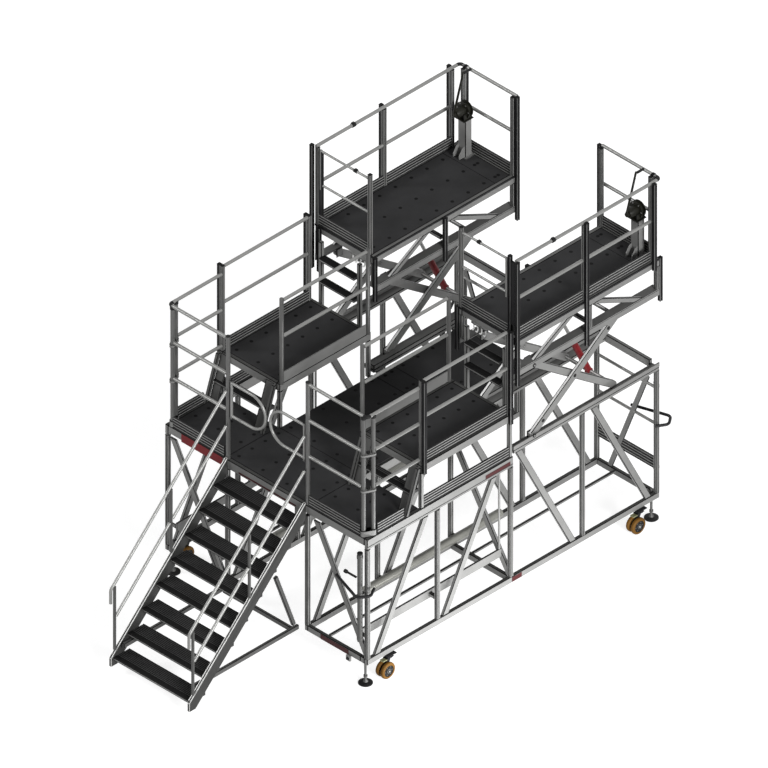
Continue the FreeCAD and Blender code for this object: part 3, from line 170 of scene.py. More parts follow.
MATERIALS = {
    "frame": finish("frame_grey", (0.2, 0.2, 0.196), 0.42, metal=0.1, specular=0.3, patchy=0.07, grain=240),
    "edge": finish("frame_edge", (0.005, 0.005, 0.005), 0.7, patchy=0.2, grain=300, specular=DULL),
    # A painted highlight on the upper faces of inclined beams, and the plain light grey of the hooks.
    "bright": finish("frame_bright", (0.86, 0.86, 0.85), 0.4, patchy=0.04, grain=240),
    "stair": finish("stair_side", (0.032, 0.032, 0.031), 0.5, patchy=0.1, grain=240, specular=0.2),
    # A painted highlight on the stringers' top strips and eased edges.
    "lip": finish("stair_lip", (0.5, 0.5, 0.49), 0.4, metal=0.2, patchy=0.05, grain=240),
    "rail": finish("rail_tube", (0.24, 0.24, 0.233), 0.32, metal=0.3, patchy=0.05, grain=60, relief=0.0),
    # Painted shade: the dark grey of the upper faces of level beams.
    "top": finish("frame_top", (0.05, 0.05, 0.048), 0.6, patchy=0.2, grain=260, specular=0.2),
    "groove": finish("board_groove", (0.024, 0.024, 0.024), 0.6, patchy=0.2, grain=260, specular=DULL),
    "crest": finish("board_rib", (0.25, 0.25, 0.245), 0.45, patchy=0.08, grain=260),
    "post": finish("guard_post", (0.1, 0.1, 0.098), 0.35, metal=0.2, patchy=0.1, grain=260),
    "column": finish("jack_column", (0.075, 0.075, 0.073), 0.45, metal=0.1, specular=0.3, patchy=0.1,
                     grain=260),
    # Painted shade: the grey of the upper faces of level lift beams.
    "mid": finish("frame_mid", (0.13, 0.13, 0.127), 0.5, patchy=0.1, grain=260, specular=0.2),
    "tube": finish("stowed_tube", (0.22, 0.22, 0.2), 0.3, metal=0.4, patchy=0.1, grain=260),
    "deck": deck_finish(),
    "screw": finish("deck_screw", (0.003, 0.003, 0.003), 0.7, patchy=0.2, grain=300, specular=DULL),
    "tread": finish("tread_rib", (0.055, 0.055, 0.055), 0.7, patchy=0.2, grain=300, relief=0.3,
                    specular=DULL),
    "black": finish("black_profile", (0.009, 0.009, 0.010), 0.5, patchy=0.2, grain=350, specular=0.2),
    "plastic": finish("black_plastic", (0.008, 0.008, 0.008), 0.6, patchy=0.25, grain=500, relief=0.2,
                      specular=0.2),
    "steel": finish("bright_steel", (0.3, 0.3, 0.295), 0.3, metal=0.8, patchy=0.05, grain=420),
    "red": finish("red_paint", (0.16, 0.006, 0.009), 0.5, patchy=0.12, grain=200, specular=0.2),
    "dark_red": finish("red_worn", (0.05, 0.009, 0.01), 0.5, patchy=0.2, grain=200, specular=0.2),
    "tyre": finish("tyre_yellow", (0.13, 0.06, 0.008), 0.62, specular=0.2, patchy=0.1, grain=380,
                   relief=0.15),
    "winch": finish("winch_paint", (0.008, 0.008, 0.005), 0.5, patchy=0.25, grain=260, specular=0.2),
    "brass": finish("brake_pedal", (0.3, 0.3, 0.16), 0.4, metal=0.5, patchy=0.15, grain=260),
}

# Materials of a dressed node, by index. The first is the solid's own, the second is on its eased edges.
# In the frame and lift sets, top and mid are painted shade on level upper faces, and bright is a painted
# highlight on inclined upper faces.
FRAME_SET = ("frame", "edge", "rail", "plastic", "top", "post", "bright")
LIFT_SET = ("frame", "edge", "rail", "plastic", "mid", "post", "bright")
FLOOR_SET = ("crest", "edge", "deck", "screw", "groove", "frame")
FAR_FACE_SET = ("rail", "edge", "rail", "plastic", "groove", "crest")
TREAD_SET = ("frame", "edge", "frame", "tread")
SHORT_STAIR_SET = ("column", "edge", "frame", "tread")
HANDRAIL_SET = ("rail", "edge", "column")
BLACK_SET = ("black", "edge", "post")

EDGE = 1
RAIL = FRAME_SET.index("rail")
PLASTIC = FRAME_SET.index("plastic")
PAINTED_TOP_SHADE = FRAME_SET.index("top")            # painted shade on the upper faces of level beams, the mid grey on the lifts
POST = FRAME_SET.index("post")
PAINTED_HIGHLIGHT = FRAME_SET.index("bright")      # painted highlight on the upper faces of inclined beams
DECK = FLOOR_SET.index("deck")
SCREW = FLOOR_SET.index("screw")
GROOVE = FLOOR_SET.index("groove")      # has the same place in FAR_FACE_SET
PLAIN_BOARD = FLOOR_SET.index("frame")
FAR_CREST = FAR_FACE_SET.index("crest")
FRONT_STRIP = 2                         # light strip of a tread, the third of both tread sets
TREAD = TREAD_SET.index("tread")
HANDRAIL_POST = HANDRAIL_SET.index("column")
# the post grey on the corners of black profiles is a painted highlight
PAINTED_CORNER_HIGHLIGHT = BLACK_SET.index("post")


# ---------------------------------------------------------------- form builders


def block(bm, low, high, material=0, bevel=EASED_EDGE, edge=EDGE):
    """A block with eased edges."""
    low, high = Vector(low), Vector(high)
    made = bmesh.ops.create_cube(bm, size=1)
    verts = made["verts"]
    for vert in verts:
        for axis in range(3):
            vert.co[axis] = low[axis] if vert.co[axis] < 0 else high[axis]
    faces = {face for vert in verts for face in vert.link_faces}
    for face in faces:
        face.material_index = material
    edges = {e for vert in verts for e in vert.link_edges}
    size = min(bevel, 0.3 * min(high - low))
    bmesh.ops.bevel(bm, geom=list(edges), offset=size, segments=1, affect="EDGES", material=edge)


def prism(bm, outline, origin, across, up, along, material=0, paint=None):
    """An outline in the (across, up) plane drawn out along a run; paint gives sides another material."""
    paint = paint or {}
    base = [bm.verts.new(origin + across * u + up * v) for u, v in outline]
    top = [bm.verts.new(vert.co + along) for vert in base]
    count = len(outline)
    for i in range(count):
        j = (i + 1) % count
        face = bm.faces.new((base[i], base[j], top[j], top[i]))
        face.material_index = paint.get(i, material)
    for ring in (list(reversed(base)), top):
        bm.faces.new(ring).material_index = material


def lathe(bm, profile, start, axis, segments=20, material=0):
    """A turned form: profile holds (distance along the axis, radius, optional material)."""
    axis = Vector(axis).normalized()
    side = axis.orthogonal().normalized()
    other = axis.cross(side)
    rings = []
    for entry in profile:
        centre = Vector(start) + axis * entry[0]
        ring = []
        for k in range(segments):
            angle = 2 * math.pi * k / segments
            ring.append(bm.verts.new(centre + (side * math.cos(angle) + other * math.sin(angle)) * entry[1]))
        rings.append(ring)
    for entry, ring, after in zip(profile, rings, rings[1:]):
        for k in range(segments):
            j = (k + 1) % segments
            face = bm.faces.new((ring[k], ring[j], after[j], after[k]))
            face.material_index = entry[2] if len(entry) > 2 else material
    bm.faces.new(list(reversed(rings[0]))).material_index = material
    bm.faces.new(rings[-1]).material_index = material


def disc(bm, start, axis, radius, height, material=0, segments=14):
    """A short turned boss with an eased rim, such as a screw, nut or cap."""
    ease = min(0.2 * height, 0.2 * radius)
    profile = [(0, radius), (height - ease, radius), (height, radius - ease)]
    lathe(bm, profile, start, axis, segments, material)


def tube(bm, points, radius, material=0, segments=12):
    """A round bar that follows points."""
    points = [Vector(p) for p in points]
    side = None
    rings = []
    for i, here in enumerate(points):
        before = points[max(i - 1, 0)]
        after = points[min(i + 1, len(points) - 1)]
        way = (after - before).normalized()
        side = way.orthogonal().normalized() if side is None else (side - way * side.dot(way)).normalized()
        other = way.cross(side)
        ring = []
        for k in range(segments):
            angle = 2 * math.pi * k / segments
            ring.append(bm.verts.new(here + (side * math.cos(angle) + other * math.sin(angle)) * radius))
        rings.append(ring)
    for ring, after in zip(rings, rings[1:]):
        for k in range(segments):
            j = (k + 1) % segments
            bm.faces.new((ring[k], ring[j], after[j], after[k])).material_index = material
    bm.faces.new(list(reversed(rings[0]))).material_index = material
    bm.faces.new(rings[-1]).material_index = material


def make(name, bm, body, materials, replaces=()):
    """Turns a mesh into a piece that rides on its body."""
    bmesh.ops.recalc_face_normals(bm, faces=bm.faces)
    for edge in bm.edges:
        edge.smooth = len(edge.link_faces) == 2 and edge.calc_face_angle(0) < math.radians(32)
    for face in bm.faces:
        face.smooth = True
    mesh = bpy.data.meshes.new(name)
    bm.to_mesh(mesh)
    bm.free()
    for key in materials:
        mesh.materials.append(MATERIALS[key])
    piece = bpy.data.objects.new(name, mesh)
    bpy.context.scene.collection.objects.link(piece)
    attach(piece, body)
    if replaces:
        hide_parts(*replaces)
    return piece


def islands(bm):
    """The separate solids of a mesh, each as its list of faces."""
    left = set(bm.faces)
    found = []
    while left:
        todo = [left.pop()]
        group = list(todo)
        while todo:
            face = todo.pop()
            for edge in face.edges:
                for near in edge.link_faces:
                    if near in left:
                        left.remove(near)
                        group.append(near)
                        todo.append(near)
        found.append(group)
    found.sort(key=lambda group: tuple(round(c, 4) for c in extent(group)[0]))
    return found


def extent(faces):
    """Lowest and highest corner of some faces."""
    points = [vert.co for face in faces for vert in face.verts]
    return (
        Vector(min(p[axis] for p in points) for axis in range(3)),
        Vector(max(p[axis] for p in points) for axis in range(3)),
    )


def ease(bm, faces, size):
    """Eases the sharp edges of a solid, apart from the short ones."""
    sharp = set()
    for face in faces:
        for border in face.edges:
            if len(border.link_faces) == 2 and border.calc_face_angle(0) > math.radians(35):
                sharp.add(border)
    lengthy = [border for border in sharp if border.calc_length() > 4 * size]
    if not lengthy:
        return
    # clamping to the short edges round an end would hold every bevel of the solid back
    all_lengthy = len(lengthy) == len(sharp)
    bmesh.ops.bevel(
        bm, geom=lengthy, offset=size, segments=1, affect="EDGES", clamp_overlap=all_lengthy, material=EDGE
    )


def dress(node, materials, recipe=None):
    """Stands for a CAD node: its solids with eased edges, or remade by recipe(bm, low, high).

    The recipe gives the material index of a solid, or None once it has remade that solid itself.
    """
    bm = bmesh.new()
    bm.from_mesh(frame["nodes"][node].data)
    for face in bm.faces:
        face.material_index = 0
    bmesh.ops.remove_doubles(bm, verts=bm.verts, dist=0.00002)
    bmesh.ops.dissolve_limit(
        bm, angle_limit=math.radians(0.6), use_dissolve_boundaries=False, verts=bm.verts, edges=bm.edges
    )
    for faces in islands(bm):
        low, high = extent(faces)
        index = recipe(bm, low, high) if recipe else 0
        if index is None:
            verts = list({vert for face in faces for vert in face.verts})
            bmesh.ops.delete(bm, geom=verts, context="VERTS")
            continue
        for face in faces:
            face.material_index = index
            # Upper faces of level beams get painted shade; upper faces leaning to the near left get a painted
            # highlight.
            if index == 0 and len(materials) > PAINTED_HIGHLIGHT:
                if face.normal.z > 0.99:
                    face.material_index = PAINTED_TOP_SHADE
                # painted highlight on inclined upper faces
                elif face.normal.z > 0.6 and face.normal.x < -0.3:
                    face.material_index = PAINTED_HIGHLIGHT
        ease(bm, faces, min(EASED_EDGE, EDGE_SHARE * min(high - low)))
    return make(node + "_dressed", bm, BODY_OF[node], materials, [node])


# ---------------------------------------------------------------- recipes for solids

X, Y, Z = Vector((1, 0, 0)), Vector((0, 1, 0)), Vector((0, 0, 1))


def slotted_outline(size, slot=0.011, depth=0.008, corner=0.005):
    """Outline of a slotted square profile and the numbers of the sides that lie in its slots, which are
    painted as shade.

    Side 5 of each six is a corner.
    """
    half = size / 2
    side = [(half, -half + corner), (half, -slot / 2), (half - depth, -slot / 2)]
    side += [(half - depth, slot / 2), (half, slot / 2), (half, half - corner)]
    outline = []
    dark = []
    for turn in range(4):
        angle = turn * math.pi / 2
        for u, v in side:
            outline.append(
                (u * math.cos(angle) - v * math.sin(angle), u * math.sin(angle) + v * math.cos(angle))
            )
        dark += [turn * 6 + 1, turn * 6 + 2, turn * 6 + 3]
    return outline, dark


def slotted_post(bm, low, high, size=PROFILE_45, corner=EDGE):
    """An upright slotted profile with a plastic cap."""
    outline, slots = slotted_outline(size)
    middle = (low + high) / 2
    origin = Vector((middle.x, middle.y, low.z))
    # The slot sides are painted near black: painted shade in the slots.
    paint = {side: EDGE for side in slots}
    # Corners take the given material: near black on plain profiles, a painted highlight on black ones.
    paint.update({turn * 6 + 5: corner for turn in range(4)})
    prism(bm, outline, origin, X, Y, Z * (high.z - low.z - 0.003), 0, paint)
    half = Vector((size / 2, size / 2, 0))
    top = Vector((middle.x, middle.y, high.z))
    block(bm, top - half - Z * 0.003, top + half, EDGE)


def ribbed_board(bm, low, high, ribs=4, light=0):
    """A dark toe board with lengthwise ribs on both faces, standing on edge; the outer faces of the crests
    are light.
    """
    size = high - low
    length_axis, depth_axis = (X, Y) if size.x > size.y else (Y, X)
    length = size.dot(length_axis)
    depth = size.dot(depth_axis)
    groove = min(0.004, depth * 0.25)
    pitch = size.z / ribs
    crest = 0.3 * pitch
    face = []
    for rib in range(ribs):
        top = (rib + 1) * pitch
        face += [(groove, top - pitch), (groove, top - crest - 0.002), (0, top - crest), (0, top - 0.001)]
    back = [(depth - u, v) for u, v in reversed(face)]
    outline = face + back
    crests = {}
    for i, (u, _) in enumerate(outline):
        if u in (0, depth) and outline[(i + 1) % len(outline)][0] == u:
            crests[i] = light
    prism(bm, outline, low, depth_axis, Z, length_axis * length, GROOVE, crests)


def step_board(bm, low, high):
    """A tread: ribs along Y on top, a thick black nosing and a light strip along the lower front."""
    depth = high.x - low.x
    height = high.z - low.z
    nosing = 0.045
    pitch = 0.024
    groove = 0.005
    outline = [(0, 0), (depth, 0), (depth, height)]
    dark = []
    x = depth
    while x - pitch > nosing:
        outline += [(x - 0.011, height), (x - 0.012, height - groove), (x - pitch + 0.001, height - groove)]
        outline.append((x - pitch, height))
        dark += [len(outline) - 4, len(outline) - 3, len(outline) - 2]
        x -= pitch
    dark += [len(outline) - 1, len(outline), len(outline) + 1]
    outline += [(0.006, height), (0, height - 0.006), (0, 0.022), (0, 0.006)]
    # The groove sides are painted near black, a painted shade in the grooves; the nosing sides are black as
    # well.
    paint = {side: EDGE for side in dark}
    paint[len(outline) - 2] = FRONT_STRIP
    paint[len(outline) - 1] = EDGE
    prism(bm, outline, low, X, Z, Y * (high.y - low.y), TREAD, paint)


def screws(bm, low, high, pitch_x=0.24, pitch_y=0.32, inset=0.085):
    """Rows of screw heads in the top of a floor plate."""
    columns = max(1, round((high.x - low.x - 2 * inset) / pitch_x))
    rows = max(1, round((high.y - low.y - 2 * inset) / pitch_y))
    for column in range(columns + 1):
        for row in range(rows + 1):
            x = low.x + inset + (high.x - low.x - 2 * inset) * column / columns
            y = low.y + inset + (high.y - low.y - 2 * inset) * row / rows
            disc(bm, (x, y, high.z - 0.001), Z, SCREW_RADIUS, 0.0022, SCREW, 12)


def floor_recipe(bm, low, high):
    """Deck plates get screws; boards on edge get ribs, except the inner ones of the middle decks."""
    if high.z - low.z < 1.5 * FLOOR_PLATE:
        screws(bm, low, high)
        return DECK
    at_middle_deck = 2.4 < low.z < 2.8
    lengthwise = high.x - low.x > 0.3
    inner = abs(low.y + high.y) / 2 < 0.85
    if at_middle_deck and lengthwise and inner:
        return PLAIN_BOARD
    ribbed_board(bm, low, high)
    return None


def post_recipe(bm, low, high):
    """Slim square uprights are slotted profiles."""
    size = high - low
    for profile in (PROFILE_45, PROFILE_50):
        if abs(size.x - profile) < 0.001 and abs(size.y - profile) < 0.001 and size.z > 2 * profile:
            slotted_post(bm, low, high, profile)
            return None
    return 0


def black_post_recipe(bm, low, high):
    """Black slotted profiles whose corners carry a painted highlight in the post grey."""
    size = high - low
    if abs(size.x - PROFILE_45) < 0.001 and abs(size.y - PROFILE_45) < 0.001:
        slotted_post(bm, low, high, PROFILE_45, PAINTED_CORNER_HIGHLIGHT)
        return None
    return 0


def guard_recipe(bm, low, high):
    """Slotted posts, dark round posts, light tubes and black elbows."""
    size = high - low
    if abs(size.x - PROFILE_45) < 0.001 and abs(size.y - PROFILE_45) < 0.001 and size.z > 0.3:
        slotted_post(bm, low, high)
        return None
    if size.z < 0.05 and 0.05 < size.x < 0.13 and 0.05 < size.y < 0.13:
        return PLASTIC
    if size.x < 0.06 and size.y < 0.06:
        return POST
    return RAIL


def handrail_recipe(bm, low, high):
    """The posts of the handrails are darker than the rails."""
    size = high - low
    return HANDRAIL_POST if size.x < 0.05 and size.y < 0.05 and size.z > 0.3 else 0


def far_face_recipe(bm, low, high):
    """The board across the far face is ribbed, the rails are plain tubes."""
    if high.z - low.z > 0.1:
        ribbed_board(bm, low, high, light=FAR_CREST)
        return None
    return 0


def tread_recipe(bm, low, high):
    """Every flat board across the stairs is a ribbed tread."""
    if high.z - low.z < 0.045 and high.y - low.y > 0.4:
        step_board(bm, low, high)
        return None
    return 0


# ---------------------------------------------------------------- camera, light and floor


def camera():
    """Orthographic view from the near right corner, 35 degrees down."""
    data = bpy.data.cameras.new("camera")
    data.type = "ORTHO"
    data.ortho_scale = VIEW_WIDTH
    data.clip_end = 60
    view = bpy.data.objects.new("camera", data)
    bpy.context.scene.collection.objects.link(view)
    away = Vector((1, 1, -1)).normalized()
    view.location = spot(*VIEW_AIM) - away * VIEW_DISTANCE
    view.rotation_euler = away.to_track_quat("-Z", "Y").to_euler()
    bpy.context.scene.camera = view


def sun(name, towards, strength, width):
    """A broad sun that shines from a direction."""
    data = bpy.data.lights.new(name, "SUN")
    data.energy = strength
    data.angle = math.radians(width)
    lamp = bpy.data.objects.new(name, data)
    bpy.context.scene.collection.objects.link(lamp)
    lamp.rotation_euler = Vector(towards).to_track_quat("Z", "Y").to_euler()


def low_panel():
    """A soft panel low beside the near right corner, which brightens the lower frame."""
    data = bpy.data.lights.new("low_panel", "AREA")
    data.shape = "RECTANGLE"
    data.size = 3.0
    data.size_y = 0.5
    data.energy = 95
    lamp = bpy.data.objects.new("low_panel", data)
    bpy.context.scene.collection.objects.link(lamp)
    lamp.location = spot(1.3, -3.4, 0.3)
    aim = spot(1.3, -1.5, 0.4)
    lamp.rotation_euler = (aim - lamp.location).to_track_quat("-Z", "Y").to_euler()


def background_rays(nodes, link):
    """One for camera, mirror and glass rays, zero for the rays that light the object."""
    rays = nodes.new("ShaderNodeLightPath")
    total = nodes.new("ShaderNodeMath")
    total.operation = "ADD"
    both = nodes.new("ShaderNodeMath")
    both.operation = "ADD"
    both.use_clamp = True
    link(rays.outputs["Is Camera Ray"], total.inputs[0])
    link(rays.outputs["Is Glossy Ray"], total.inputs[1])
    link(total.outputs[0], both.inputs[0])
    link(rays.outputs["Is Transmission Ray"], both.inputs[1])
    return both.outputs[0]


def surroundings():
    """White behind the object, a plain level of light on it."""
    world = bpy.data.worlds.new("studio")
    bpy.context.scene.world = world
    world.use_nodes = True
    nodes = world.node_tree.nodes
    link = world.node_tree.links.new
    level = nodes.new("ShaderNodeMapRange")
    level.inputs["To Min"].default_value = 0.3
    level.inputs["To Max"].default_value = 1.0
    link(background_rays(nodes, link), level.inputs["Value"])
    link(level.outputs["Result"], nodes["Background"].inputs["Strength"])
    nodes["Background"].inputs["Color"].default_value = (1, 1, 1, 1)


def floor():
    """Pale floor that keeps the object's shadow and looks white."""
    bm = bmesh.new()
    corners = [(-1, -1), (1, -1), (1, 1), (-1, 1)]
    bm.faces.new([bm.verts.new((x * FLOOR_REACH, y * FLOOR_REACH, 0)) for x, y in corners])
    mesh = bpy.data.meshes.new("floor")
    bm.to_mesh(mesh)
    bm.free()
    material = bpy.data.materials.new("floor")
    material.use_nodes = True
    nodes = material.node_tree.nodes
    link = material.node_tree.links.new
    shader = nodes["Principled BSDF"]
    shader.inputs["Roughness"].default_value = 1.0
    shader.inputs["Specular IOR Level"].default_value = 0.0
    shader.inputs["Base Color"].default_value = (0.45, 0.45, 0.45, 1)
    shader.inputs["Emission Color"].default_value = (1, 1, 1, 1)
    glow = nodes.new("ShaderNodeMath")
    glow.operation = "MULTIPLY"
    glow.inputs[1].default_value = 0.8
    link(background_rays(nodes, link), glow.inputs[0])
    link(glow.outputs[0], shader.inputs["Emission Strength"])
    mesh.materials.append(material)
    ground = bpy.data.objects.new("floor", mesh)
    bpy.context.scene.collection.objects.link(ground)


# ---------------------------------------------------------------- dressed CAD nodes


def dress_frames():
    """Every steel and aluminium frame, with its slotted posts, treads and rails."""
    for node in ("bottom_frame", "deck_rims", "base_braces"):
        dress(node, FRAME_SET)
    dress("lift_tracks", LIFT_SET)
    dress("base_posts", FRAME_SET, post_recipe)
    dress("stowed_tubes", ("tube", "edge"))
    dress("bay_rails", FRAME_SET)
    dress("jack_columns", ("column", "edge"))
    dress("far_face_rails", FAR_FACE_SET, far_face_recipe)
    # The stringers' eased edges carry the lip's painted highlight.
    dress("stair_stringers", ("stair", "lip"))
    dress("stair_frame", ("column", "edge"))
    dress("middle_frames", FRAME_SET)
    for node in ("front_guards", "middle_guards"):
        dress(node, FRAME_SET, guard_recipe)
    dress("stair_handrails", HANDRAIL_SET, handrail_recipe)
    dress("short_stairs", SHORT_STAIR_SET, tread_recipe)
    for node in ("stair_treads", "ladders"):
        dress(node, TREAD_SET, tread_recipe)
    for node in ("lower_floor", "middle_floors"):
        dress(node, FLOOR_SET, floor_recipe)
    dress("black_posts", BLACK_SET, black_post_recipe)
    dress("push_handles", ("black", "edge"))
    dress("caster_plates", ("black", "edge"))
    for leaf in ("stair_gate_left", "stair_gate_right"):
        dress(leaf, ("rail", "edge"))
    for side in SIDES:
        dress("upper_frame_" + side, LIFT_SET, post_recipe)
        dress("upper_floor_" + side, FLOOR_SET, floor_recipe)
        dress("upper_guards_" + side, FRAME_SET, guard_recipe)
        dress("upper_gate_" + side, ("rail", "edge"))
        dress("upper_black_posts_" + side, BLACK_SET, black_post_recipe)
        dress("lift_arms_a_" + side, LIFT_SET)
        dress("lift_arms_b_" + side, LIFT_SET)
        dress("lift_cylinder_" + side, ("red", "edge"))
        dress("lift_rod_" + side, ("steel", "edge"))
        dress("winch_pedestal_" + side, FRAME_SET)


# ---------------------------------------------------------------- added detail


def upper_edge_strips():
    """Dark wear strips along the top edge of each upper platform's rim."""
    for side, sense in SIDES.items():
        bm = bmesh.new()
        outer = sense * HALF_WIDTH
        inner = sense * UPPER_INNER
        top = UPPER_DECK - 0.001
        low = top - 0.024
        for y, out in ((outer, sense), (inner, -sense)):
            ends = sorted((y, y + out * PLATE_THICKNESS))
            block(bm, spot(UPPER_START, ends[0], low), spot(UPPER_END, ends[1], top))
        for x, out in ((UPPER_START, -1), (UPPER_END, 1)):
            ends = sorted((x, x + out * PLATE_THICKNESS))
            ys = sorted((inner, outer))
            block(bm, spot(ends[0], ys[0], low), spot(ends[1], ys[1], top))
        make("upper_edge_strips_" + side, bm, "upper_platform_" + side, ("black", "edge"))


def blank_plates():
    """Plain red plates where the real stand carries its signs."""
    bm = bmesh.new()
    block(bm, spot(-PLATE_THICKNESS, 0.668, 1.85), spot(0.0, 1.304, 1.958), bevel=0.001)
    make("blank_plates", bm, "base", ("red", "edge"))
    bm = bmesh.new()
    outer = -HALF_WIDTH
    block(bm, spot(-PLATE_THICKNESS, -0.46, 1.868), spot(0.0, 0.42, 1.888), bevel=0.001)
    block(bm, spot(1.82, outer - PLATE_THICKNESS, 1.872), spot(2.2, outer, 1.92), bevel=0.001)
    block(bm, spot(2.225, outer - PLATE_THICKNESS, 0.3), spot(2.375, outer, 0.36), bevel=0.001)
    block(bm, spot(-PLATE_THICKNESS, -1.27, 0.296), spot(0.0, -0.84, 0.36), bevel=0.001)
    make("worn_plates", bm, "base", ("dark_red", "edge"))


def caster_wheels(corner):
    """Twin wheels with hubs and a ring of bolts on each face."""
    low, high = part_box("caster_wheels_" + corner)
    centre = (low + high) / 2
    radius = (high.z - low.z) / 2
    width = 0.048
    bm = bmesh.new()
    for shift in (-0.037, 0.037):
        start = centre + Y * (shift - width / 2)
        profile = [
            (0.006, 0.010, 1), (0.006, 0.022, 1), (0.0, 0.024, 1), (0.0, 0.03, 2), (0.008, 0.036, 2),
            (0.008, 0.066, 2), (0.001, 0.069, 0), (0.001, 0.088, 0), (0.006, 0.096, 0), (0.014, radius, 0),
            (0.034, radius, 0), (0.042, 0.096, 0), (0.047, 0.088, 0), (0.047, 0.069, 2), (0.04, 0.066, 2),
            (0.04, 0.036, 2), (0.048, 0.03, 1), (0.048, 0.024, 1), (0.042, 0.022, 1), (0.042, 0.010, 1),
        ]
        lathe(bm, profile, start, Y, 40)
        for spoke in range(6):
            angle = spoke * math.pi / 3
            out = X * math.cos(angle) + Z * math.sin(angle)
            for face, way in ((start + Y * 0.008, -1), (start + Y * 0.04, 1)):
                disc(bm, face + out * 0.051, Y * way, 0.007, 0.004, 1, 8)
    make("wheels_dressed_" + corner, bm, "wheels_" + corner, ("tyre", "column", "plastic"),
         ["caster_wheels_" + corner])


def caster_fork(corner):
    """The swivel fork with its dust cover, axle and brake pedal."""
    low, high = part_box("caster_wheels_" + corner)
    centre = (low + high) / 2
    y = centre.y
    trail = 0.055
    pivot_x = centre.x + trail
    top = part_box("caster_fork_" + corner)[1].z
    bm = bmesh.new()
    lathe(bm, [(0, 0.047), (0.006, 0.05), (0.012, 0.05), (0.016, 0.044), (0.03, 0.045)],
          (pivot_x, y, top - 0.03), Z, 28)
    block(bm, (pivot_x - 0.062, y - 0.034, top - 0.042), (pivot_x + 0.046, y + 0.034, top - 0.028))
    ahead = Vector((centre.x - pivot_x, 0, centre.z - (top - 0.04)))
    side = Vector((ahead.z, 0, -ahead.x)).normalized()
    outline = [(-0.034, 0), (0.034, 0), (0.026, 1), (0.012, 1.14), (-0.012, 1.14), (-0.026, 1)]
    origin = Vector((pivot_x - 0.006, y - 0.008, top - 0.04))
    prism(bm, outline, origin, side, ahead, Y * 0.016)
    lathe(bm, [(0, 0.008, 2), (0.004, 0.012, 2), (0.146, 0.012, 2), (0.15, 0.008, 2)],
          (centre.x, y - 0.075, centre.z), Y, 12, 2)
    block(bm, (pivot_x - 0.115, y - 0.03, top - 0.052), (pivot_x - 0.05, y + 0.03, top - 0.04), 3, 0.003, 3)
    block(bm, (pivot_x - 0.062, y - 0.012, top - 0.05), (pivot_x - 0.03, y + 0.012, top - 0.034), 3, 0.002, 3)
    make("fork_dressed_" + corner, bm, "caster_" + corner, ("black", "edge", "steel", "brass"),
         ["caster_fork_" + corner])


def foot(corner):
    """Levelling foot: rubber pad, steel cup, threaded spindle and locknut."""
    low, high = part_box("foot_" + corner)
    centre = (low + high) / 2
    radius = (high.x - low.x) / 2
    bm = bmesh.new()
    profile = [(0, radius - 0.004, 0), (0.004, radius, 0), (0.014, radius, 0), (0.018, radius - 0.006, 0),
               (0.022, 0.058, 0), (0.026, 0.03, 1), (0.034, 0.026, 1), (0.05, 0.016, 1)]
    lathe(bm, profile, (centre.x, centre.y, 0), Z, 36)
    height = 0.05
    thread = []
    while height < high.z - 0.012:
        thread += [(height, 0.0148, 1), (height + 0.004, 0.0125, 1)]
        height += 0.008
    thread.append((high.z - 0.006, 0.0148, 1))
    thread.append((high.z, 0.012, 1))
    lathe(bm, thread, (centre.x, centre.y, 0), Z, 16, 1)
    lathe(bm, [(0, 0.026, 1), (0.018, 0.026, 1)], (centre.x, centre.y, 0.09), Z, 6, 1)
    make("foot_dressed_" + corner, bm, "levelling_foot_" + corner, ("plastic", "column"),
         ["foot_" + corner])


def winch(side):
    """Hand winch: flanged drum, gear case, crank with its grip."""
    seat_low, seat_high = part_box("winch_pedestal_" + side)
    x = (seat_low.x + seat_high.x) / 2
    y = (seat_low.y + seat_high.y) / 2
    z = UPPER_DECK + 0.6
    bm = bmesh.new()
    block(bm, (x - 0.09, y - 0.08, z - 0.1097), (x + 0.06, y + 0.08, z - 0.098))
    lathe(bm, [(0, 0.1), (0.006, 0.1), (0.008, 0.07), (0.03, 0.068), (0.052, 0.07), (0.054, 0.1), (0.06, 0.1),
               (0.066, 0.094), (0.07, 0.05), (0.08, 0.046)], (x - 0.03, y, z), X, 36)
    lathe(bm, [(0, 0.03), (0.004, 0.042), (0.03, 0.055), (0.12, 0.055)], (x - 0.15, y, z), X, 28)
    for bolt in range(6):
        turn = bolt * math.pi / 3
        at = Vector((x - 0.03, y + 0.084 * math.cos(turn), z + 0.084 * math.sin(turn)))
        disc(bm, at, -X, 0.008, 0.006, 2, 8)
    lathe(bm, [(0, 0.02), (0.006, 0.028), (0.03, 0.028)], (x - 0.18, y, z), X, 20)
    for lean in (-1, 1):
        cheek = y + lean * 0.06
        block(bm, (x - 0.075, cheek - 0.004, z - 0.1), (x + 0.05, cheek + 0.004, z - 0.02))
    crank_x = x - 0.165
    hub = Vector((crank_x, y, z + 0.0285))
    top = Vector((crank_x, y - 0.14, z + 0.64))
    lathe(bm, [(0, 0.013), (0.002, 0.0145), (0.6, 0.0125)], hub, top - hub, 14)
    tube(bm, [(crank_x, y - 0.125, z + 0.58), top], 0.0125, segments=14)
    grip_start = Vector((x - 0.152, y - 0.14, z + 0.625))
    lathe(bm, [(0, 0.01, 1), (0.004, 0.0155, 1), (0.03, 0.016, 1), (0.07, 0.0145, 1), (0.1, 0.016, 1),
               (0.107, 0.012, 1)], grip_start, X, 16, 1)
    make("winch_dressed_" + side, bm, "upper_platform_" + side, ("winch", "plastic", "steel"),
         ["winch_" + side])


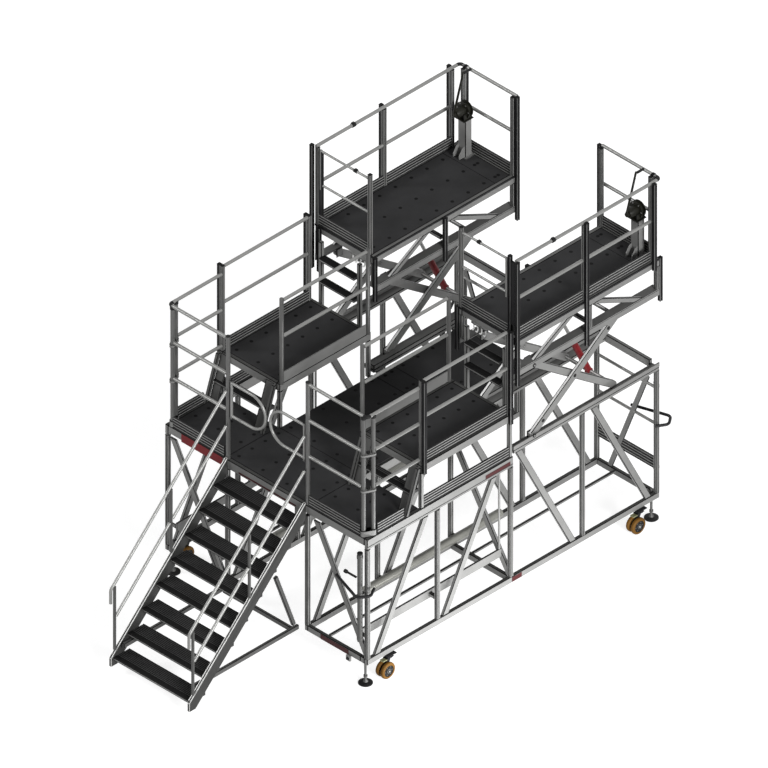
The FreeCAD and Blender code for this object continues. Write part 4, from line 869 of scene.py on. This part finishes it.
def winch_seats():
    """Gusset, base flange and bolts of the winch pedestals."""
    for side in SIDES:
        low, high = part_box("winch_pedestal_" + side)
        bm = bmesh.new()
        block(bm, (low.x - 0.03, low.y - 0.03, low.z), (high.x + 0.03, high.y + 0.03, low.z + 0.01))
        for x in (low.x - 0.018, high.x + 0.018):
            for y in (low.y - 0.018, high.y + 0.018):
                disc(bm, (x, y, low.z + 0.01), Z, 0.009, 0.008, 2, 6)
        outline = [(0, 0.01), (0.085, 0.01), (0.085, 0.05), (0.03, 0.13), (0, 0.14)]
        for y in (low.y + 0.01, high.y - 0.02):
            prism(bm, outline, Vector((low.x, y, low.z)), -X, Z, Y * 0.01)
        make("winch_seat_" + side, bm, "upper_platform_" + side, ("frame", "edge", "steel"))


def rail_clamp(bm, at, along, tube_radius=0.02):
    """A black two-part clamp around a rail."""
    profile = [(0, tube_radius + 0.002), (0.002, tube_radius + 0.007), (0.048, tube_radius + 0.007),
               (0.05, tube_radius + 0.002)]
    lathe(bm, profile, Vector(at) - Vector(along) * 0.025, along, 18)
    low = Vector(at) + Vector((-0.02, -0.02, tube_radius - 0.004))
    block(bm, low, low + Vector((0.04, 0.04, 0.016)))


def clamps():
    """Clamps on the upper rails and gates."""
    top = UPPER_DECK + UPPER_GUARD
    for side, sense in SIDES.items():
        bm = bmesh.new()
        rail_clamp(bm, spot(2.88, sense * 1.5375, top), X)
        make("rail_clamps_" + side, bm, "upper_platform_" + side, ("plastic", "edge"))
        bm = bmesh.new()
        rail_clamp(bm, spot(UPPER_START + 0.0225, sense * 0.95, top - 0.05), Y, 0.014)
        make("gate_clamp_" + side, bm, "upper_gate_leaf_" + side, ("plastic", "edge"))


def capsule(first, second, radius, steps=8):
    """Outline of two round ends joined by straight sides, around two points in the plane."""
    along = (second - first).normalized()
    side = Vector((-along.y, along.x, 0))
    outline = []
    for centre, start in ((first, math.pi / 2), (second, -math.pi / 2)):
        for step in range(steps + 1):
            angle = start + math.pi * step / steps
            place = centre + (along * math.cos(angle) + side * math.sin(angle)) * radius
            outline.append((place.x, place.y))
    return outline


def corner_brackets():
    """Brackets that tie the two corner posts of the lower guard, their sleeve at the deck and their caps."""
    bm = bmesh.new()
    for sense in SIDES.values():
        first = spot(0.03, sense * 1.47, 0)
        second = spot(0.13, sense * 1.52, 0)
        for low, high in ((LOWER_DECK + 0.001, 2.042), (2.548, 2.584), (3.022, 3.058)):
            prism(bm, capsule(first, second, 0.0335), Z * low, X, Y, Z * (high - low), 2)
            for z in (low, high - 0.004):
                prism(bm, capsule(first, second, 0.035), Z * z, X, Y, Z * 0.004, 1)
        for low in (2.585, 3.059):
            disc(bm, (first + second) / 2 + Z * low, Z, 0.022, 0.02, 0, 18)
        for centre in (first, second):
            lathe(bm, [(0, 0.026), (0.003, 0.03), (0.037, 0.03), (0.04, 0.026)], centre + Z * 3.52, Z, 18)
        disc(bm, spot(0.03, sense * 0.613, LOWER_DECK + 1.62), Z, 0.0265, 0.008, 0, 18)
        for z in (2.53, 3.01):
            disc(bm, spot(0.03, sense * 0.56, z + 0.012), Z, 0.017, 0.004, 0, 14)
    make("guard_brackets", bm, "base", ("plastic", "edge", "frame"))


def lift_pins():
    """Pin heads of the scissor lifts, each on the body that carries it."""
    for side, sense in SIDES.items():
        for body, x, z, name in (
            ("base", LIFT_NEAR, LIFT_LOW, "low"),
            ("upper_platform_" + side, LIFT_NEAR, LIFT_HIGH, "high"),
        ):
            bm = bmesh.new()
            outer = sense * HALF_WIDTH
            disc(bm, spot(x, outer, z), Y * sense, 0.024, 0.006, 0, 20)
            disc(bm, spot(x, outer + sense * 0.006, z), Y * sense, 0.011, 0.003, 1, 6)
            make("lift_pin_" + name + "_" + side, bm, body, ("plastic", "steel"))


def jack_details():
    """Collars, cap and the row of stop holes on each jack column."""
    bm = bmesh.new()
    for x, sense in JACKS:
        y = sense * JACK_Y
        for z in (0.62, 1.7):
            lathe(bm, [(0, 0.031), (0.004, 0.036), (0.036, 0.036), (0.04, 0.031)], spot(x, y, z), Z, 20, 1)
        # Each stop hole is a thin black disc: painted shade in the hole.
        for step in range(16):
            disc(bm, spot(x, y - 0.0302, 0.75 + 0.055 * step), -Y, 0.007, 0.0006, 0, 10)
        lathe(bm, [(0, 0.031), (0.004, 0.033), (0.018, 0.033), (0.022, 0.028)], spot(x, y, 1.755), Z, 20)
    make("jack_details", bm, "base", ("plastic", "column"))


def stair_lips():
    """Two thin strips along the top of each stringer, light as a painted highlight on its upper edges."""
    bm = bmesh.new()
    outward = Vector((-STAIR_SLOPE, 0, 1)).normalized()
    start_x, run = -1.78, 1.765
    outline = [(-0.0045, -0.002), (0.0045, -0.002), (0.0045, 0.003), (-0.0045, 0.003)]
    for sense in SIDES.values():
        for y in STRINGER_EDGES:
            start = spot(start_x, sense * y, LOWER_DECK + STAIR_SLOPE * start_x + STRINGER_TOP)
            prism(bm, outline, start, Y, outward, Vector((run, 0, run * STAIR_SLOPE)))
    make("stair_lips", bm, "base", ("lip", "edge"))


def join_strips():
    """Black joint strips between the near outer corner posts of the upper platforms."""
    for side, sense in SIDES.items():
        bm = bmesh.new()
        ys = sorted((sense * 1.447, sense * 1.5145))
        block(bm, spot(2.318, ys[0], UPPER_DECK + 0.15), spot(2.345, ys[1], UPPER_DECK + 1.0))
        make("join_strip_" + side, bm, "upper_platform_" + side, ("black", "edge"))


def arm_pins():
    """Pin heads at the crossing and along each scissor arm."""
    rise = LIFT_HIGH - LIFT_LOW
    run = ARM_LENGTH * math.cos(math.asin(rise / ARM_LENGTH))
    for side, sense in SIDES.items():
        low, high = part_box("lift_arms_a_" + side)
        y = low.y if sense < 0 else high.y
        bm = bmesh.new()
        for share in (0.12, 0.5, 0.9):
            at = spot(LIFT_NEAR + run * share, 0, LIFT_LOW + rise * share)
            at.y = y
            disc(bm, at, Y * sense, 0.022, 0.003, 0, 18)
        make("arm_pins_" + side, bm, BODY_OF["lift_arms_a_" + side], ("plastic", "edge"))


def hooks():
    """A row of bright hooks under the near rim of each upper platform."""
    top = UPPER_DECK - 0.17
    for side, sense in SIDES.items():
        bm = bmesh.new()
        for step in range(4):
            y = sense * (0.84 + 0.06 * step)
            points = [spot(2.36, y, top), spot(2.36, y, top - 0.05), spot(2.345, y, top - 0.068),
                      spot(2.33, y, top - 0.05)]
            tube(bm, points, 0.008, segments=10)
        ys = sorted((sense * 0.8, sense * 1.06))
        block(bm, spot(2.35, ys[0], top), spot(2.37, ys[1], top + 0.03), 1)
        make("hooks_" + side, bm, "upper_platform_" + side, ("bright", "frame"))


def far_face_bars():
    """A diagonal across the far face of each box."""
    bm = bmesh.new()
    for sense in SIDES.values():
        foot = spot(4.462, sense * 0.82, 0.352)
        head = spot(4.462, sense * 1.4, 1.85)
        wide = (head - foot).normalized().cross(X).normalized() * 0.03
        outline = [(-1, 0), (1, 0), (1, 0.02), (-1, 0.02)]
        prism(bm, outline, foot, wide, X, head - foot, 0, {1: EDGE, 3: EDGE})
    make("far_face_bars", bm, "base", ("frame", "edge"))


def sockets():
    """Tube sockets at the feet of the near corners and the stub of the near right folding handle."""
    bm = bmesh.new()
    for sense in SIDES.values():
        y = sense * 1.285
        block(bm, spot(-0.03, y - 0.036, 0.235), spot(0.0, y + 0.036, 0.307), 1)
        disc(bm, spot(-0.03, y, 0.271), -X, 0.022, 0.002, 0, 18)
        ys = sorted((sense * 1.5, sense * 1.53))
        block(bm, spot(0.105, ys[0], 0.275), spot(0.175, ys[1], 0.345))
        disc(bm, spot(0.14, sense * 1.53, 0.31), Y * sense, 0.02, 0.002, 1, 18)
    stub_end = spot(-0.05, -1.3, 1.44)
    tube(bm, [spot(-0.03, -1.42, 1.42), stub_end], 0.013)
    lathe(bm, [(0, 0.013), (0.006, 0.022), (0.04, 0.022), (0.046, 0.014)], stub_end, Y, 16)
    make("corner_sockets", bm, "base", ("plastic", "frame"))


camera()
sun("key", (-0.22, -0.9, 0.38), 3.0, 18)
sun("upper_left", (-0.577, 0.577, 0.577), 0.8, 14)
low_panel()
surroundings()
floor()
dress_frames()
upper_edge_strips()
blank_plates()
for corner_name in ("near_left", "near_right", "far_left", "far_right"):
    caster_wheels(corner_name)
    caster_fork(corner_name)
    foot(corner_name)
for side_name in SIDES:
    winch(side_name)
winch_seats()
clamps()
corner_brackets()
lift_pins()
jack_details()
join_strips()
stair_lips()
arm_pins()
hooks()
far_face_bars()
sockets()
